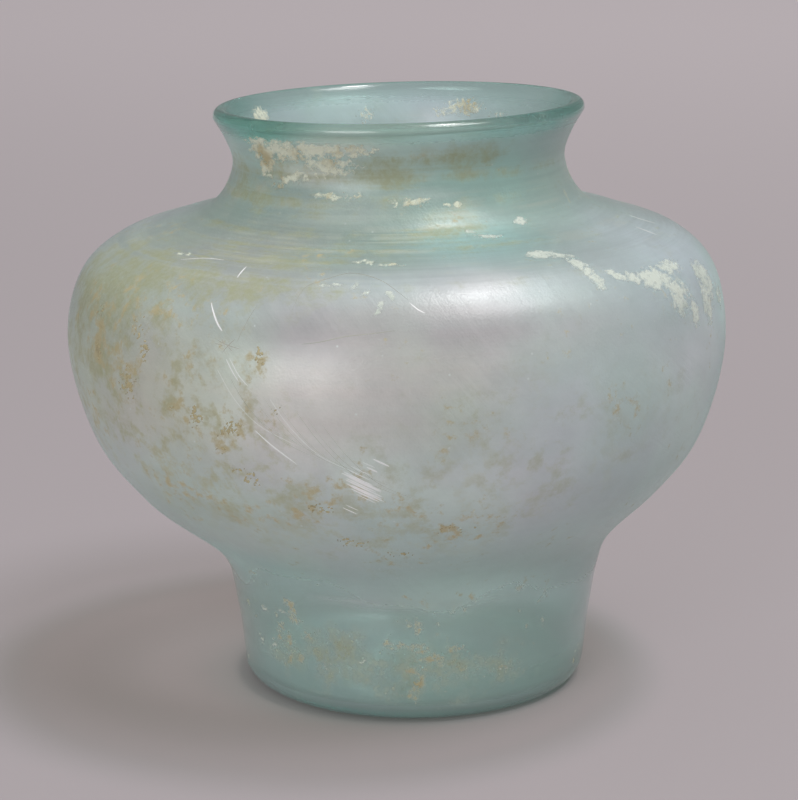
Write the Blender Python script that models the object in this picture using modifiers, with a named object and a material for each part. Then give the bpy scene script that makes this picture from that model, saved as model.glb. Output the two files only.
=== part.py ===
"""Globular jar of free-blown glass on a tall foot, with the crusts that burial left on it.

The glass is split at the stages in which it was worked: base pad, pontil scar, foot, body, neck
and lip. Units are metres, +Z is up, and the origin lies on the table below the middle of the belly.
"""

import math

import bmesh
import bpy
from mathutils import Vector

MM = 0.001

# Rises, stacked from the table to the top of the lip
HEEL_CURVE = 4.0 * MM
FOOT_RISE = 22.6 * MM
FLANK_RISE = 41.4 * MM
SHOULDER_RISE = 19.0 * MM
ROOF_RISE = 6.9 * MM
NECK_RISE = 7.4 * MM
FLARE_RISE = 10.7 * MM

# Outer radii at the ends of those rises; the neck draws in from its root and flares to the mouth
HEEL_RADIUS = 33.3 * MM
WAIST_RADIUS = 37.7 * MM
BELLY_RADIUS = 62.8 * MM
SHOULDER_RADIUS = 54.0 * MM
ROOT_RADIUS = 35.1 * MM
NECK_PINCH = 3.7 * MM
MOUTH_FLARE = 3.6 * MM
THROAT_RADIUS = ROOT_RADIUS - NECK_PINCH
MOUTH_RADIUS = THROAT_RADIUS + MOUTH_FLARE

# Thickness of the glass
BASE_GLASS = 2.0 * MM
FOOT_GLASS = 2.2 * MM
BELLY_GLASS = 1.8 * MM
NECK_GLASS = 2.0 * MM
LIP_GLASS = 3.0 * MM

# How a rise bends on its way: share of the rise, then share of the change in radius
FOOT_BEND = (0.465, 0.295)
FLANK_BEND = (0.31, 0.52)
HIP_BEND = (0.555, 0.82)
SHOULDER_BEND = (0.705, 0.33)
ROOF_BEND = (0.465, 0.475)
FLARE_BEND = (0.60, 0.42)
LIP_TURN = math.radians(-30.0)

# Underside and floor
REST_WIDTH = 7.0 * MM
KICK_HEIGHT = 4.5 * MM
FLOOR_CORNER = 2.4 * MM
CORNER_WALL = 0.6 * MM
PONTIL_RADIUS = 7.5 * MM
PONTIL_WIDTH = 3.0 * MM
PONTIL_GLASS = 0.8 * MM

# Where the worked stages meet, measured along the outer wall
PAD_WALL = 3.0 * MM
LIP_BAND = 4.0 * MM
SEAM_GAP = 0.3 * MM

# Lean of the blown shape: the foot and the neck stand aside of the belly, the lip rises to +X
FOOT_ASIDE = 3.0 * MM
NECK_ASIDE = 0.5 * MM
LIP_SLOPE = 0.0225
ASIDE_BELOW_WAIST = 4.6 * MM
ASIDE_ABOVE_WAIST = 11.4 * MM

# Crusts: thickness, then the half width and half height of each patch and its slant
CRUST = 0.5 * MM
NECK_CRUST_SIZE = (13.0 * MM, 4.2 * MM, 0.0)
LIME_CRUST_SIZE = (27.0 * MM, 4.5 * MM, -9.0 * MM)
FLANK_CRUST_SIZE = (20.0 * MM, 12.0 * MM, 0.0)
FLOOR_CRUST_SIZE = (25.0 * MM, 4.5 * MM, 0.0)
NECK_CRUST_TURN = math.radians(-123.0)
LIME_CRUST_TURN = math.radians(-37.0)
FLANK_CRUST_TURN = math.radians(-135.0)
FLOOR_CRUST_TURN = math.radians(-92.0)
NECK_CRUST_ABOVE_THROAT = 1.5 * MM
LIME_CRUST_BELOW_EDGE = 6.0 * MM
FLANK_CRUST_BELOW_BELLY = 2.0 * MM
FLOOR_CRUST_BELOW_SEAM = 10.0 * MM
RAGGED = (0.16, 0.10)

# Fineness of the facets
TURN_STEPS = 48
WALL_STEP = 3.4 * MM
ARC_STEPS = 6
FLOOR_STEPS = 9
RING_STEPS = 10
PATCH_CELLS = 8
SPLINE_STEPS = 24
AXIS_MERGE = 0.01 * MM
SHARP_ANGLE = math.radians(40.0)

# Heights that follow
WAIST_HEIGHT = HEEL_CURVE + FOOT_RISE
BELLY_HEIGHT = WAIST_HEIGHT + FLANK_RISE
SHOULDER_HEIGHT = BELLY_HEIGHT + SHOULDER_RISE
ROOT_HEIGHT = SHOULDER_HEIGHT + ROOF_RISE
THROAT_HEIGHT = ROOT_HEIGHT + NECK_RISE
TOP_HEIGHT = THROAT_HEIGHT + FLARE_RISE
KICK_RADIUS = HEEL_RADIUS - HEEL_CURVE - REST_WIDTH

# Colour, roughness and share of light let through
AQUA_GLASS = ((0.42, 0.66, 0.63), 0.12, 0.85)
DEEP_AQUA_GLASS = ((0.22, 0.50, 0.48), 0.10, 0.85)
MILKY_GLASS = ((0.56, 0.63, 0.62), 0.28, 0.60)
LIME = ((0.78, 0.79, 0.70), 0.85, 0.0)
EARTH = ((0.47, 0.40, 0.25), 0.90, 0.0)


def ramp(value, low, high):
    """Smooth step from 0 at low to 1 at high."""
    share = min(max((value - low) / (high - low), 0.0), 1.0)
    return share * share * (3.0 - 2.0 * share)


def lean(point):
    """Where a point of the upright jar ends up in the leaning one."""
    low = WAIST_HEIGHT - ASIDE_BELOW_WAIST
    high = WAIST_HEIGHT + ASIDE_ABOVE_WAIST
    foot = FOOT_ASIDE * (1.0 - ramp(point.z, low, high))
    neck = NECK_ASIDE * ramp(point.z, BELLY_HEIGHT, ROOT_HEIGHT)
    lift = LIP_SLOPE * point.x * ramp(point.z, BELLY_HEIGHT, TOP_HEIGHT)
    return Vector((point.x + foot + neck, point.y, point.z + lift))


def bend(start, end, shares):
    """Station between two others; each station is a radius, a height and a thickness."""
    rise, run = shares
    radius = start.x + (end.x - start.x) * run
    height = start.y + (end.y - start.y) * rise
    return Vector((radius, height, start.z + (end.z - start.z) * rise))


def smooth_through(stations):
    """Points of a centripetal Catmull-Rom curve through the stations."""
    first = 2.0 * stations[0] - stations[1]
    last = 2.0 * stations[-1] - stations[-2]
    knots = [first] + stations + [last]
    points = []
    for a, b, c, d in zip(knots, knots[1:], knots[2:], knots[3:]):
        t1 = math.sqrt((b - a).length)
        t2 = t1 + math.sqrt((c - b).length)
        t3 = t2 + math.sqrt((d - c).length)
        for step in range(SPLINE_STEPS):
            t = t1 + (t2 - t1) * step / SPLINE_STEPS
            ab = a.lerp(b, t / t1)
            bc = b.lerp(c, (t - t1) / (t2 - t1))
            cd = c.lerp(d, (t - t2) / (t3 - t2))
            abc = ab.lerp(bc, t / t2)
            bcd = bc.lerp(cd, (t - t1) / (t3 - t1))
            points.append(abc.lerp(bcd, (t - t1) / (t2 - t1)))
    return points + [stations[-1]]


class Outline:
    """A run of (radius, height, thickness) points that is read by the length along it."""

    def __init__(self, points):
        self.points = points
        self.reach = [0.0]
        for start, end in zip(points, points[1:]):
            self.reach.append(self.reach[-1] + (end.xy - start.xy).length)
        self.length = self.reach[-1]

    def at(self, length):
        """Point at this length, the unit normal to the left of the run, and the thickness."""
        index = 0
        while index < len(self.points) - 2 and self.reach[index + 1] < length:
            index += 1
        start = self.points[index]
        end = self.points[index + 1]
        share = (length - self.reach[index]) / (self.reach[index + 1] - self.reach[index])
        along = (end.xy - start.xy).normalized()
        here = start.lerp(end, share)
        return here.xy, Vector((-along.y, along.x)), here.z

    def nearest(self, station):
        """Length at which the run passes a station."""
        gaps = [(point - station).length for point in self.points]
        return self.reach[gaps.index(min(gaps))]


def glass_stations():
    """Stations of the outer wall from the heel to the lip."""
    heel = Vector((HEEL_RADIUS, HEEL_CURVE, FOOT_GLASS))
    waist = Vector((WAIST_RADIUS, WAIST_HEIGHT, FOOT_GLASS))
    belly = Vector((BELLY_RADIUS, BELLY_HEIGHT, BELLY_GLASS))
    shoulder = Vector((SHOULDER_RADIUS, SHOULDER_HEIGHT, BELLY_GLASS))
    root = Vector((ROOT_RADIUS, ROOT_HEIGHT, NECK_GLASS))
    throat = Vector((THROAT_RADIUS, THROAT_HEIGHT, NECK_GLASS))
    turn = lip_arc_point(LIP_TURN)
    lip = Vector((turn.x, turn.y, LIP_GLASS))
    return {
        "heel": heel,
        "foot bend": bend(heel, waist, FOOT_BEND),
        "waist": waist,
        "flank bend": bend(waist, belly, FLANK_BEND),
        "hip bend": bend(waist, belly, HIP_BEND),
        "belly": belly,
        "shoulder bend": bend(belly, shoulder, SHOULDER_BEND),
        "shoulder": shoulder,
        "roof bend": bend(shoulder, root, ROOF_BEND),
        "root": root,
        "throat": throat,
        "flare bend": bend(throat, lip, FLARE_BEND),
        "lip": lip,
    }


def lip_arc_point(angle):
    """Point of the rounded lip, with angle 0 at its outermost place."""
    radius = LIP_GLASS / 2.0
    middle = Vector((MOUTH_RADIUS - radius, TOP_HEIGHT - radius))
    return middle + radius * Vector((math.cos(angle), math.sin(angle)))


STATIONS = glass_stations()
WALL = Outline(smooth_through(list(STATIONS.values())))
WAIST_REACH = WALL.nearest(STATIONS["waist"])
ROOT_REACH = WALL.nearest(STATIONS["root"])
LIP_REACH = WALL.length - LIP_BAND


def outer_wall(length):
    return WALL.at(length)[0]


def inner_wall(length):
    point, inward, glass = WALL.at(length)
    return point + inward * glass


def wall_lengths(low, high):
    """Lengths from low to high at about the wall step."""
    count = max(2, round((high - low) / WALL_STEP))
    return [low + (high - low) * step / count for step in range(count + 1)]


def kick(radius):
    """Height of the pushed-up underside."""
    share = min(radius / KICK_RADIUS, 1.0)
    return KICK_HEIGHT * (1.0 + math.cos(math.pi * share)) / 2.0


def floor_run():
    """The inside of the base pad, from the axis over the floor, round its corner and up to the seam."""
    wall_foot = inner_wall(CORNER_WALL)
    corner_rise = wall_foot.y - BASE_GLASS
    flat = wall_foot.x - FLOOR_CORNER
    run = []
    for step in range(FLOOR_STEPS):
        radius = flat * step / FLOOR_STEPS
        run.append(Vector((radius, BASE_GLASS + kick(radius))))
    for step in range(ARC_STEPS + 1):
        angle = math.pi / 2.0 * step / ARC_STEPS
        across = flat + FLOOR_CORNER * math.sin(angle)
        run.append(Vector((across, BASE_GLASS + corner_rise * (1.0 - math.cos(angle)))))
    seam = PAD_WALL - SEAM_GAP / 2.0
    return run + [inner_wall(length) for length in wall_lengths(CORNER_WALL, seam)[1:]]


def underside_run():
    """The outside of the base pad, from the heel round to the resting ring and the kick."""
    middle = Vector((HEEL_RADIUS - HEEL_CURVE, HEEL_CURVE))
    run = []
    for step in range(ARC_STEPS + 1):
        angle = -math.pi / 2.0 * step / ARC_STEPS
        run.append(middle + HEEL_CURVE * Vector((math.cos(angle), math.sin(angle))))
    for step in range(FLOOR_STEPS + 1):
        radius = KICK_RADIUS * (1.0 - step / FLOOR_STEPS)
        run.append(Vector((radius, kick(radius))))
    return run


def coloured(name, finish):
    """Principled material of one piece."""
    colour, roughness, clearness = finish
    material = bpy.data.materials.new(name)
    material.use_nodes = True
    shader = material.node_tree.nodes["Principled BSDF"]
    shader.inputs["Base Color"].default_value = (*colour, 1.0)
    shader.inputs["Roughness"].default_value = roughness
    shader.inputs["Metallic"].default_value = 0.0
    shader.inputs["Transmission Weight"].default_value = clearness
    return material


def add_piece(name, mesh, finish):
    """Object of one piece, leaning as the jar leans."""
    for vertex in mesh.vertices:
        vertex.co = lean(vertex.co)
    mesh.shade_smooth()
    mesh.set_sharp_from_angle(angle=SHARP_ANGLE)
    mesh.materials.append(coloured(name, finish))
    piece = bpy.data.objects.new(name, mesh)
    PIECES.objects.link(piece)
    piece.parent = DATUM
    return piece


def evaluated_mesh(name, raw, add_modifiers):
    """Mesh of a raw shape after its modifiers."""
    blank = bpy.data.objects.new(name + "_blank", raw)
    PIECES.objects.link(blank)
    add_modifiers(blank)
    graph = bpy.context.evaluated_depsgraph_get()
    mesh = bpy.data.meshes.new_from_object(blank.evaluated_get(graph))
    mesh.name = name
    bpy.data.objects.remove(blank)
    return mesh


def turned(name, profile, closed, finish):
    """Piece turned from a profile that runs down its outer side."""
    raw = bpy.data.meshes.new(name + "_profile")
    shape = bmesh.new()
    corners = [shape.verts.new((point.x, 0.0, point.y)) for point in profile]
    for start, end in zip(corners, corners[1:]):
        shape.edges.new((start, end))
    if closed:
        shape.edges.new((corners[-1], corners[0]))
    shape.to_mesh(raw)
    shape.free()

    def turn(blank):
        screw = blank.modifiers.new("Turn", "SCREW")
        screw.axis = "Z"
        screw.angle = math.tau
        screw.steps = TURN_STEPS
        screw.render_steps = TURN_STEPS
        screw.use_merge_vertices = True
        screw.merge_threshold = AXIS_MERGE

    return add_piece(name, evaluated_mesh(name, raw, turn), finish)


def wall_stage(name, low, high, finish):
    """One worked stage of the wall, between two lengths along it."""
    lengths = wall_lengths(low + SEAM_GAP / 2.0, high - SEAM_GAP / 2.0)
    down = [outer_wall(length) for length in reversed(lengths)]
    up = [inner_wall(length) for length in lengths]
    return turned(name, down + up, True, finish)


def lip_stage():
    """Fire-rounded lip with the band below it."""
    lengths = wall_lengths(LIP_REACH + SEAM_GAP / 2.0, WALL.length)
    down = [outer_wall(length) for length in reversed(lengths)]
    up = [inner_wall(length) for length in lengths[:-1]]
    over = []
    for step in range(2 * ARC_STEPS):
        angle = LIP_TURN + math.pi * (1.0 - step / (2 * ARC_STEPS))
        over.append(lip_arc_point(angle))
    return turned("rim_lip", down + up + over, True, DEEP_AQUA_GLASS)


def base_stage():
    """Base pad with its heel, resting ring and pushed-up kick."""
    seam = PAD_WALL - SEAM_GAP / 2.0
    wall = [outer_wall(length) for length in reversed(wall_lengths(0.0, seam))]
    profile = floor_run() + wall + underside_run()[1:]
    return turned("base_pad", profile, False, DEEP_AQUA_GLASS)


def pontil_stage():
    """Ring of glass that the pontil rod left inside the kick."""
    ring = []
    for step in range(RING_STEPS):
        angle = -math.tau * step / RING_STEPS
        radius = PONTIL_RADIUS + PONTIL_WIDTH / 2.0 * math.cos(angle)
        depth = SEAM_GAP + PONTIL_GLASS * (1.0 - math.sin(angle)) / 2.0
        ring.append(Vector((radius, kick(radius) - depth)))
    return turned("pontil_scar", ring, True, AQUA_GLASS)


def crust(name, outline, side, turn, middle, size, finish):
    """Thin ragged patch that lies on one side of an outline, round the jar's axis."""
    half_width, half_height, slant = size
    off_glass = SEAM_GAP + CRUST / 2.0
    radius = outline.at(middle)[0].x
    raw = bpy.data.meshes.new(name + "_sheet")
    sheet = bmesh.new()
    bmesh.ops.create_grid(sheet, x_segments=PATCH_CELLS, y_segments=PATCH_CELLS, size=1.0)
    for vertex in sheet.verts:
        across = vertex.co.x * math.sqrt(1.0 - vertex.co.y**2 / 2.0)
        along = vertex.co.y * math.sqrt(1.0 - vertex.co.x**2 / 2.0)
        heading = math.atan2(along, across)
        ragged = 1.0 - RAGGED[0] * math.sin(3.0 * heading) - RAGGED[1] * math.cos(5.0 * heading)
        angle = turn + across * ragged * half_width / radius
        length = middle + along * ragged * half_height + across * slant
        point, left, _glass = outline.at(length)
        seat = point + left * side * off_glass
        vertex.co = (seat.x * math.cos(angle), seat.x * math.sin(angle), seat.y)
    sheet.to_mesh(raw)
    sheet.free()

    def thicken(blank):
        solidify = blank.modifiers.new("Thickness", "SOLIDIFY")
        solidify.thickness = CRUST
        solidify.offset = 0.0

    return add_piece(name, evaluated_mesh(name, raw, thicken), finish)


def crust_stages():
    """Soil and lime on the outside of the glass, and the crust in the corner of the floor."""
    throat = WALL.nearest(STATIONS["throat"]) + NECK_CRUST_ABOVE_THROAT
    crust("neck_earth_crust", WALL, -1, NECK_CRUST_TURN, throat, NECK_CRUST_SIZE, EARTH)
    edge = WALL.nearest(STATIONS["shoulder"]) - LIME_CRUST_BELOW_EDGE
    crust("shoulder_lime_crust", WALL, -1, LIME_CRUST_TURN, edge, LIME_CRUST_SIZE, LIME)
    belly = WALL.nearest(STATIONS["belly"]) - FLANK_CRUST_BELOW_BELLY
    crust("flank_earth_crust", WALL, -1, FLANK_CRUST_TURN, belly, FLANK_CRUST_SIZE, EARTH)
    floor = Outline([point.to_3d() for point in floor_run()])
    corner = floor.length - FLOOR_CRUST_BELOW_SEAM
    crust("floor_lime_crust", floor, 1, FLOOR_CRUST_TURN, corner, FLOOR_CRUST_SIZE, LIME)


for leftover in list(bpy.data.objects):
    bpy.data.objects.remove(leftover)
PIECES = bpy.data.collections.new("globular_jar")
bpy.context.scene.collection.children.link(PIECES)
DATUM = bpy.data.objects.new("table_datum", None)
PIECES.objects.link(DATUM)

base_stage()
pontil_stage()
wall_stage("foot_wall", PAD_WALL, WAIST_REACH, AQUA_GLASS)
wall_stage("body_bubble", WAIST_REACH, ROOT_REACH, MILKY_GLASS)
wall_stage("neck_collar", ROOT_REACH, LIP_REACH, AQUA_GLASS)
lip_stage()
crust_stages()
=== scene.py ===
"""Dresses the globular glass jar: weathered free-blown glass, its crusts and a plain studio stage."""

import math
from collections import namedtuple

import bpy
import numpy as np
from mathutils import Matrix, Vector, noise


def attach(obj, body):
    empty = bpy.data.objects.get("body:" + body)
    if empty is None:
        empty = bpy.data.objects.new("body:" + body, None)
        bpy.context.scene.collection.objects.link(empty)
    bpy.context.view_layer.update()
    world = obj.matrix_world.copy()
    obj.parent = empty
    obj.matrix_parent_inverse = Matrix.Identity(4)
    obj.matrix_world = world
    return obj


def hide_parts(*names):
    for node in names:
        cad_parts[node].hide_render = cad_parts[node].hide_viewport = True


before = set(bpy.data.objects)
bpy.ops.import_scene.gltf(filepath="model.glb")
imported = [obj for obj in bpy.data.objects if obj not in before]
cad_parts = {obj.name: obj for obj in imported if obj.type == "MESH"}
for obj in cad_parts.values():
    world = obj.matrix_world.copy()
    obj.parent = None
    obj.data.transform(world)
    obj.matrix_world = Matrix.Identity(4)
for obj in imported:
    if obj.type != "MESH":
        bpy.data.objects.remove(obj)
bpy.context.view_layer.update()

bl_info = {
    "name": "Globular glass jar",
    "version": (1, 0, 0),
    "blender": (4, 5, 0),
    "location": "View3D > Sidebar > Jar",
    "description": "Blows a weathered glass jar, lays its crusts and sets the stage",
    "category": "Object",
}

MM = 0.001

# Shares of each rise, then of its change in radius, at which the wall bends
FOOT_BEND = (0.465, 0.295)
FLANK_BEND = (0.31, 0.52)
HIP_BEND = (0.555, 0.82)
SHOULDER_BEND = (0.705, 0.33)
ROOF_BEND = (0.465, 0.475)
FLARE_BEND = (0.60, 0.42)
LIP_TURN = math.radians(-30.0)

# Fineness of the turned glass
GLASS_TURNS = 180
WALL_STEP = 1.1 * MM
SPLINE_STEPS = 24
ARC_STEPS = 12
LIP_STEPS = 16
REST_STEPS = 4
FLOOR_STEPS = 24
MERGE = 0.002 * MM

# Unevenness of the blown wall: noise across and along it, and how far the inside follows the outside
SWELL_ACROSS = 22.0
SWELL_ALONG = 30.0
RIPPLE_ACROSS = 9.0
RIPPLE_ALONG = 420.0
RIPPLE_SHIFT = 7.0
INSIDE_FOLLOW = 0.6

# Pontil scar
PONTIL_TURNS = 72
PONTIL_SIDES = 14
PONTIL_GAP = 0.05 * MM
PONTIL_TEAR = 0.25 * MM
TEAR_NOISE = 700.0

# Flakes: their grid, their thickness and how their ragged rims are found
FLAKE_CELL = 0.17 * MM
FLAKE_LIFT = 0.03 * MM
FLAKE_THICKNESS = 0.16 * MM
FLAKE_CREASE = math.radians(50.0)
FLAKE_NOISE = 1700.0
BROAD_NOISE = 800.0
FLAKE_FRACTAL = (0.35, 2.1, 4)
SPOT_REACH = 1.5
SPOT_FALL = 0.8
BARE_DEPTH = -9.0
FULL_DEPTH = 0.35
THIN_SHARE = 0.12
RIM_PROBE = 0.1 * FLAKE_CELL
RIM_REACH = 0.45 * FLAKE_CELL
FLAT_SLOPE = 1e-6
BY_RADIUS = 0
BY_HEIGHT = 1
OUTSIDE = 1
INSIDE = -1

# How ragged each crust is, and how far in from its rims it is worn thin
NECK_RAGGED = 0.9
INNER_RAGGED = 0.6
LIME_RAGGED = 0.75
FLANK_RAGGED = 1.0
FLOOR_RAGGED = 0.9
EARTH_FEATHER = 0.3
BEIGE_FEATHER = 0.8
LIME_FEATHER = 0.9

# Crust spots: turn (degrees), height or floor radius, half width, half height (mm), tilt (degrees), cover
NECK_SPOTS = (
    (-137.5, 106.2, 3.6, 2.8, 0.0, 1.15),
    (-128.0, 106.8, 5.4, 2.0, 0.0, 1.05),
    (-116.0, 107.2, 7.4, 1.8, 0.0, 0.95),
    (-104.0, 107.2, 4.8, 1.5, 0.0, 0.70),
    (-113.0, 104.2, 6.0, 2.2, 0.0, 0.62),
    (-139.0, 103.4, 2.4, 2.6, 20.0, 0.80),
    (-125.0, 101.6, 4.4, 1.1, 5.0, 0.60),
    (-110.0, 98.8, 6.4, 0.8, 0.0, 0.62),
    (-133.5, 99.8, 1.8, 1.4, 0.0, 0.50),
    (-86.0, 97.8, 4.0, 0.9, 0.0, 0.70),
    (-72.0, 97.0, 4.4, 0.6, 0.0, 0.50),
    (-96.5, 89.7, 3.2, 1.0, 0.0, 0.50),
    (-91.5, 89.4, 2.6, 0.9, -8.0, 0.45),
    (-141.0, 88.9, 3.2, 0.9, 0.0, 0.40),
)
INNER_NECK_SPOTS = (
    (65.0, 107.2, 5.4, 2.0, 0.0, 0.55),
    (73.0, 106.4, 4.0, 1.6, 0.0, 0.35),
    (103.0, 106.0, 2.8, 2.4, 0.0, 0.30),
    (152.0, 108.0, 2.8, 2.0, 0.0, 0.85),
    (50.0, 106.0, 4.0, 1.6, 0.0, 0.15),
)
LIME_SPOTS = (
    (-57.8, 89.4, 3.2, 1.6, -6.0, 0.95),
    (-53.6, 89.0, 2.4, 1.0, -20.0, 0.70),
    (-52.8, 87.9, 2.8, 1.4, -72.0, 0.95),
    (-52.0, 85.9, 2.6, 1.4, -80.0, 0.90),
    (-47.0, 85.9, 1.9, 0.9, -50.0, 1.00),
    (-43.0, 85.0, 3.4, 1.2, -25.0, 0.95),
    (-38.0, 84.2, 4.4, 2.2, -8.0, 1.10),
    (-33.6, 80.9, 2.4, 4.0, 5.0, 1.00),
    (-31.0, 85.0, 4.4, 1.7, 5.0, 0.85),
    (-29.3, 77.4, 1.6, 3.2, 0.0, 0.80),
    (-20.4, 81.4, 3.6, 3.6, -5.0, 1.00),
    (-23.0, 77.4, 2.2, 3.6, 0.0, 0.90),
    (-14.0, 77.2, 2.2, 3.8, 0.0, 0.45),
    (-52.5, 93.4, 1.5, 1.1, 0.0, 0.90),
    (-33.0, 81.4, 6.0, 4.6, 0.0, 0.30),
    (-21.0, 80.0, 5.0, 5.5, 0.0, 0.30),
    (-97.5, 86.9, 1.3, 0.8, 40.0, 0.45),
    (-95.5, 86.0, 1.2, 0.7, 70.0, 0.75),
    (-92.6, 84.4, 1.1, 0.6, 65.0, 0.80),
    (-93.0, 83.4, 1.0, 0.6, 50.0, 0.75),
    (-91.0, 85.6, 1.7, 0.6, -60.0, 0.85),
    (-102.0, 87.0, 2.4, 0.8, 0.0, 0.45),
    (-66.0, 92.0, 3.6, 0.9, -8.0, 0.50),
    (-70.5, 92.9, 2.0, 0.7, -30.0, 0.50),
)
FLANK_SPOTS = (
    (-137.0, 77.6, 3.2, 2.8, 0.0, 0.06),
    (-134.5, 73.6, 1.6, 3.2, 0.0, 0.12),
    (-148.5, 71.5, 1.8, 2.2, 0.0, 0.10),
    (-139.0, 67.2, 3.8, 4.0, 20.0, 0.12),
    (-128.8, 64.6, 1.4, 1.2, 0.0, 0.22),
    (-123.6, 63.4, 1.9, 3.2, 0.0, 0.18),
    (-117.0, 62.4, 4.2, 2.6, 15.0, 0.12),
    (-119.5, 58.4, 1.4, 1.2, 0.0, 0.20),
    (-115.0, 53.4, 4.4, 2.4, -20.0, 0.04),
    (-111.5, 75.6, 1.6, 3.0, 10.0, 0.10),
    (-108.5, 66.4, 1.6, 2.4, 0.0, 0.04),
    (-103.0, 48.0, 4.0, 2.6, 0.0, 0.00),
    (-98.0, 41.0, 4.0, 2.2, 0.0, 0.04),
    (-90.0, 38.0, 5.0, 1.6, 0.0, -0.04),
    (-80.0, 44.0, 6.0, 2.4, 0.0, -0.08),
    (-150.0, 78.0, 3.0, 3.0, 0.0, -0.04),
    (-88.5, 8.4, 1.0, 1.2, 0.0, 0.30),
)
FOOT_SPOTS = (
    (-142.5, 18.8, 1.6, 1.0, -20.0, 0.45),
    (-134.0, 19.8, 2.0, 0.8, 10.0, 0.40),
    (-148.0, 11.6, 1.4, 1.6, 0.0, 0.35),
    (-140.0, 12.2, 1.6, 1.4, 30.0, 0.40),
    (-106.0, 12.3, 1.4, 0.9, 0.0, 0.30),
    (-60.0, 9.5, 3.0, 1.4, 0.0, -0.05),
    (-118.0, 10.5, 4.0, 2.0, 0.0, -0.08),
)
FLOOR_SPOTS = (
    (-130.0, 29.0, 6.0, 2.4, 0.0, 0.30),
    (-112.0, 29.5, 8.0, 2.0, 0.0, 0.22),
    (-94.0, 29.5, 9.0, 1.8, 0.0, 0.30),
    (-74.0, 29.3, 8.0, 2.0, 0.0, 0.35),
    (-60.0, 28.6, 5.0, 2.6, 0.0, 0.25),
    (-104.0, 25.0, 7.0, 3.0, 0.0, 0.05),
)

# Scratches: half width in mm, then places as turn in degrees and height in mm
SCRATCH_STEPS = 24
SCRATCH_THICKNESS = 0.04 * MM
SCRATCH_TIP = 0.01
# Pale lines: scratches painted white, partly real scratches and partly painted glints
PALE_LINES = (
    (0.14, ((-123.0, 83.4), (-121.5, 81.7), (-120.0, 80.0), (-119.0, 79.1))),
    (0.07, ((-117.5, 74.6), (-116.2, 72.6), (-115.0, 71.0))),
    (0.05, ((-116.9, 74.8), (-115.0, 72.0), (-113.4, 70.4))),
    (0.12, ((-112.5, 62.6), (-110.0, 60.2), (-106.0, 56.9))),
    (0.06, ((-139.0, 88.3), (-133.5, 88.9), (-128.5, 89.0))),
    (0.12, ((-121.0, 87.2), (-121.5, 88.6))),
    (0.10, ((-87.8, 84.6), (-86.4, 83.6), (-85.2, 83.0))),
    (0.10, ((-8.5, 90.6), (-8.0, 89.1))),
    (0.10, ((-18.5, 89.8), (-19.0, 88.6))),
)
DARK_LINES = (
    (0.08, ((-119.6, 77.6), (-117.8, 77.0), (-115.2, 76.5))),
    (0.07, ((-118.4, 75.6), (-117.2, 77.2), (-116.4, 78.0))),
    (0.06, ((-118.8, 77.9), (-118.0, 76.6))),
    (0.05, ((-117.6, 76.9), (-116.6, 76.0))),
    (0.05, ((-119.9, 77.0), (-118.3, 76.8))),
    (0.04, ((-116.0, 77.5), (-114.0, 83.6))),
    (0.07, ((-105.0, 78.0), (-102.0, 78.5), (-98.0, 79.5), (-94.0, 80.0), (-90.0, 80.5))),
    (0.05, ((-107.5, 83.1), (-106.5, 86.6), (-103.0, 87.8), (-99.0, 88.5), (-93.5, 87.8), (-88.0, 85.0))),
)

# Glints, painted highlights of white strips: turn and height of a start, the turn they cover and half
# width; then a row of like ones
GLINT_FALL = -0.54
GLINT_STARTS = (
    (-93.5, 58.5, 2.6, 0.15),
    (-94.5, 56.9, 1.7, 0.14),
    (-97.5, 56.3, 3.4, 0.06),
    (-97.0, 57.0, 3.0, 0.05),
    (-95.2, 57.9, 2.0, 0.05),
    (-96.4, 51.6, 3.2, 0.06),
    (-99.0, 48.8, 2.4, 0.08),
    (-98.4, 49.4, 2.0, 0.06),
)
GLINT_ROWS = 14
GLINT_ROW_START = (-98.3, 55.9)
GLINT_ROW_STEP = (0.10, -0.25)
GLINT_ROW_REACH = 4.8
GLINT_ROW_HALF = 0.13
GLINT_ROW_NOISE = (1.7, 0.3)
GLINT_WANDER = 1.2

# Wiped arcs: first place, step to the next one, sweep of each, how they wander and half width
WIPE_LINES = 12
WIPE_START = (-118.6, 72.6)
WIPE_STEP = (1.5, -0.7)
WIPE_SWEEP = ((0.0, 0.0), (3.6, -5.4), (7.6, -9.6), (13.6, -12.8))
WIPE_ROW_NOISE = (2.3, 4.1)
WIPE_WANDER = 2.0
WIPE_STRETCHING = 0.5
WIPE_HALF = 0.018
WIPE_HALF_WANDER = 0.012
PALE_WIPE_EVERY = 6
DARK_WIPE_EVERY = 3

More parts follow.
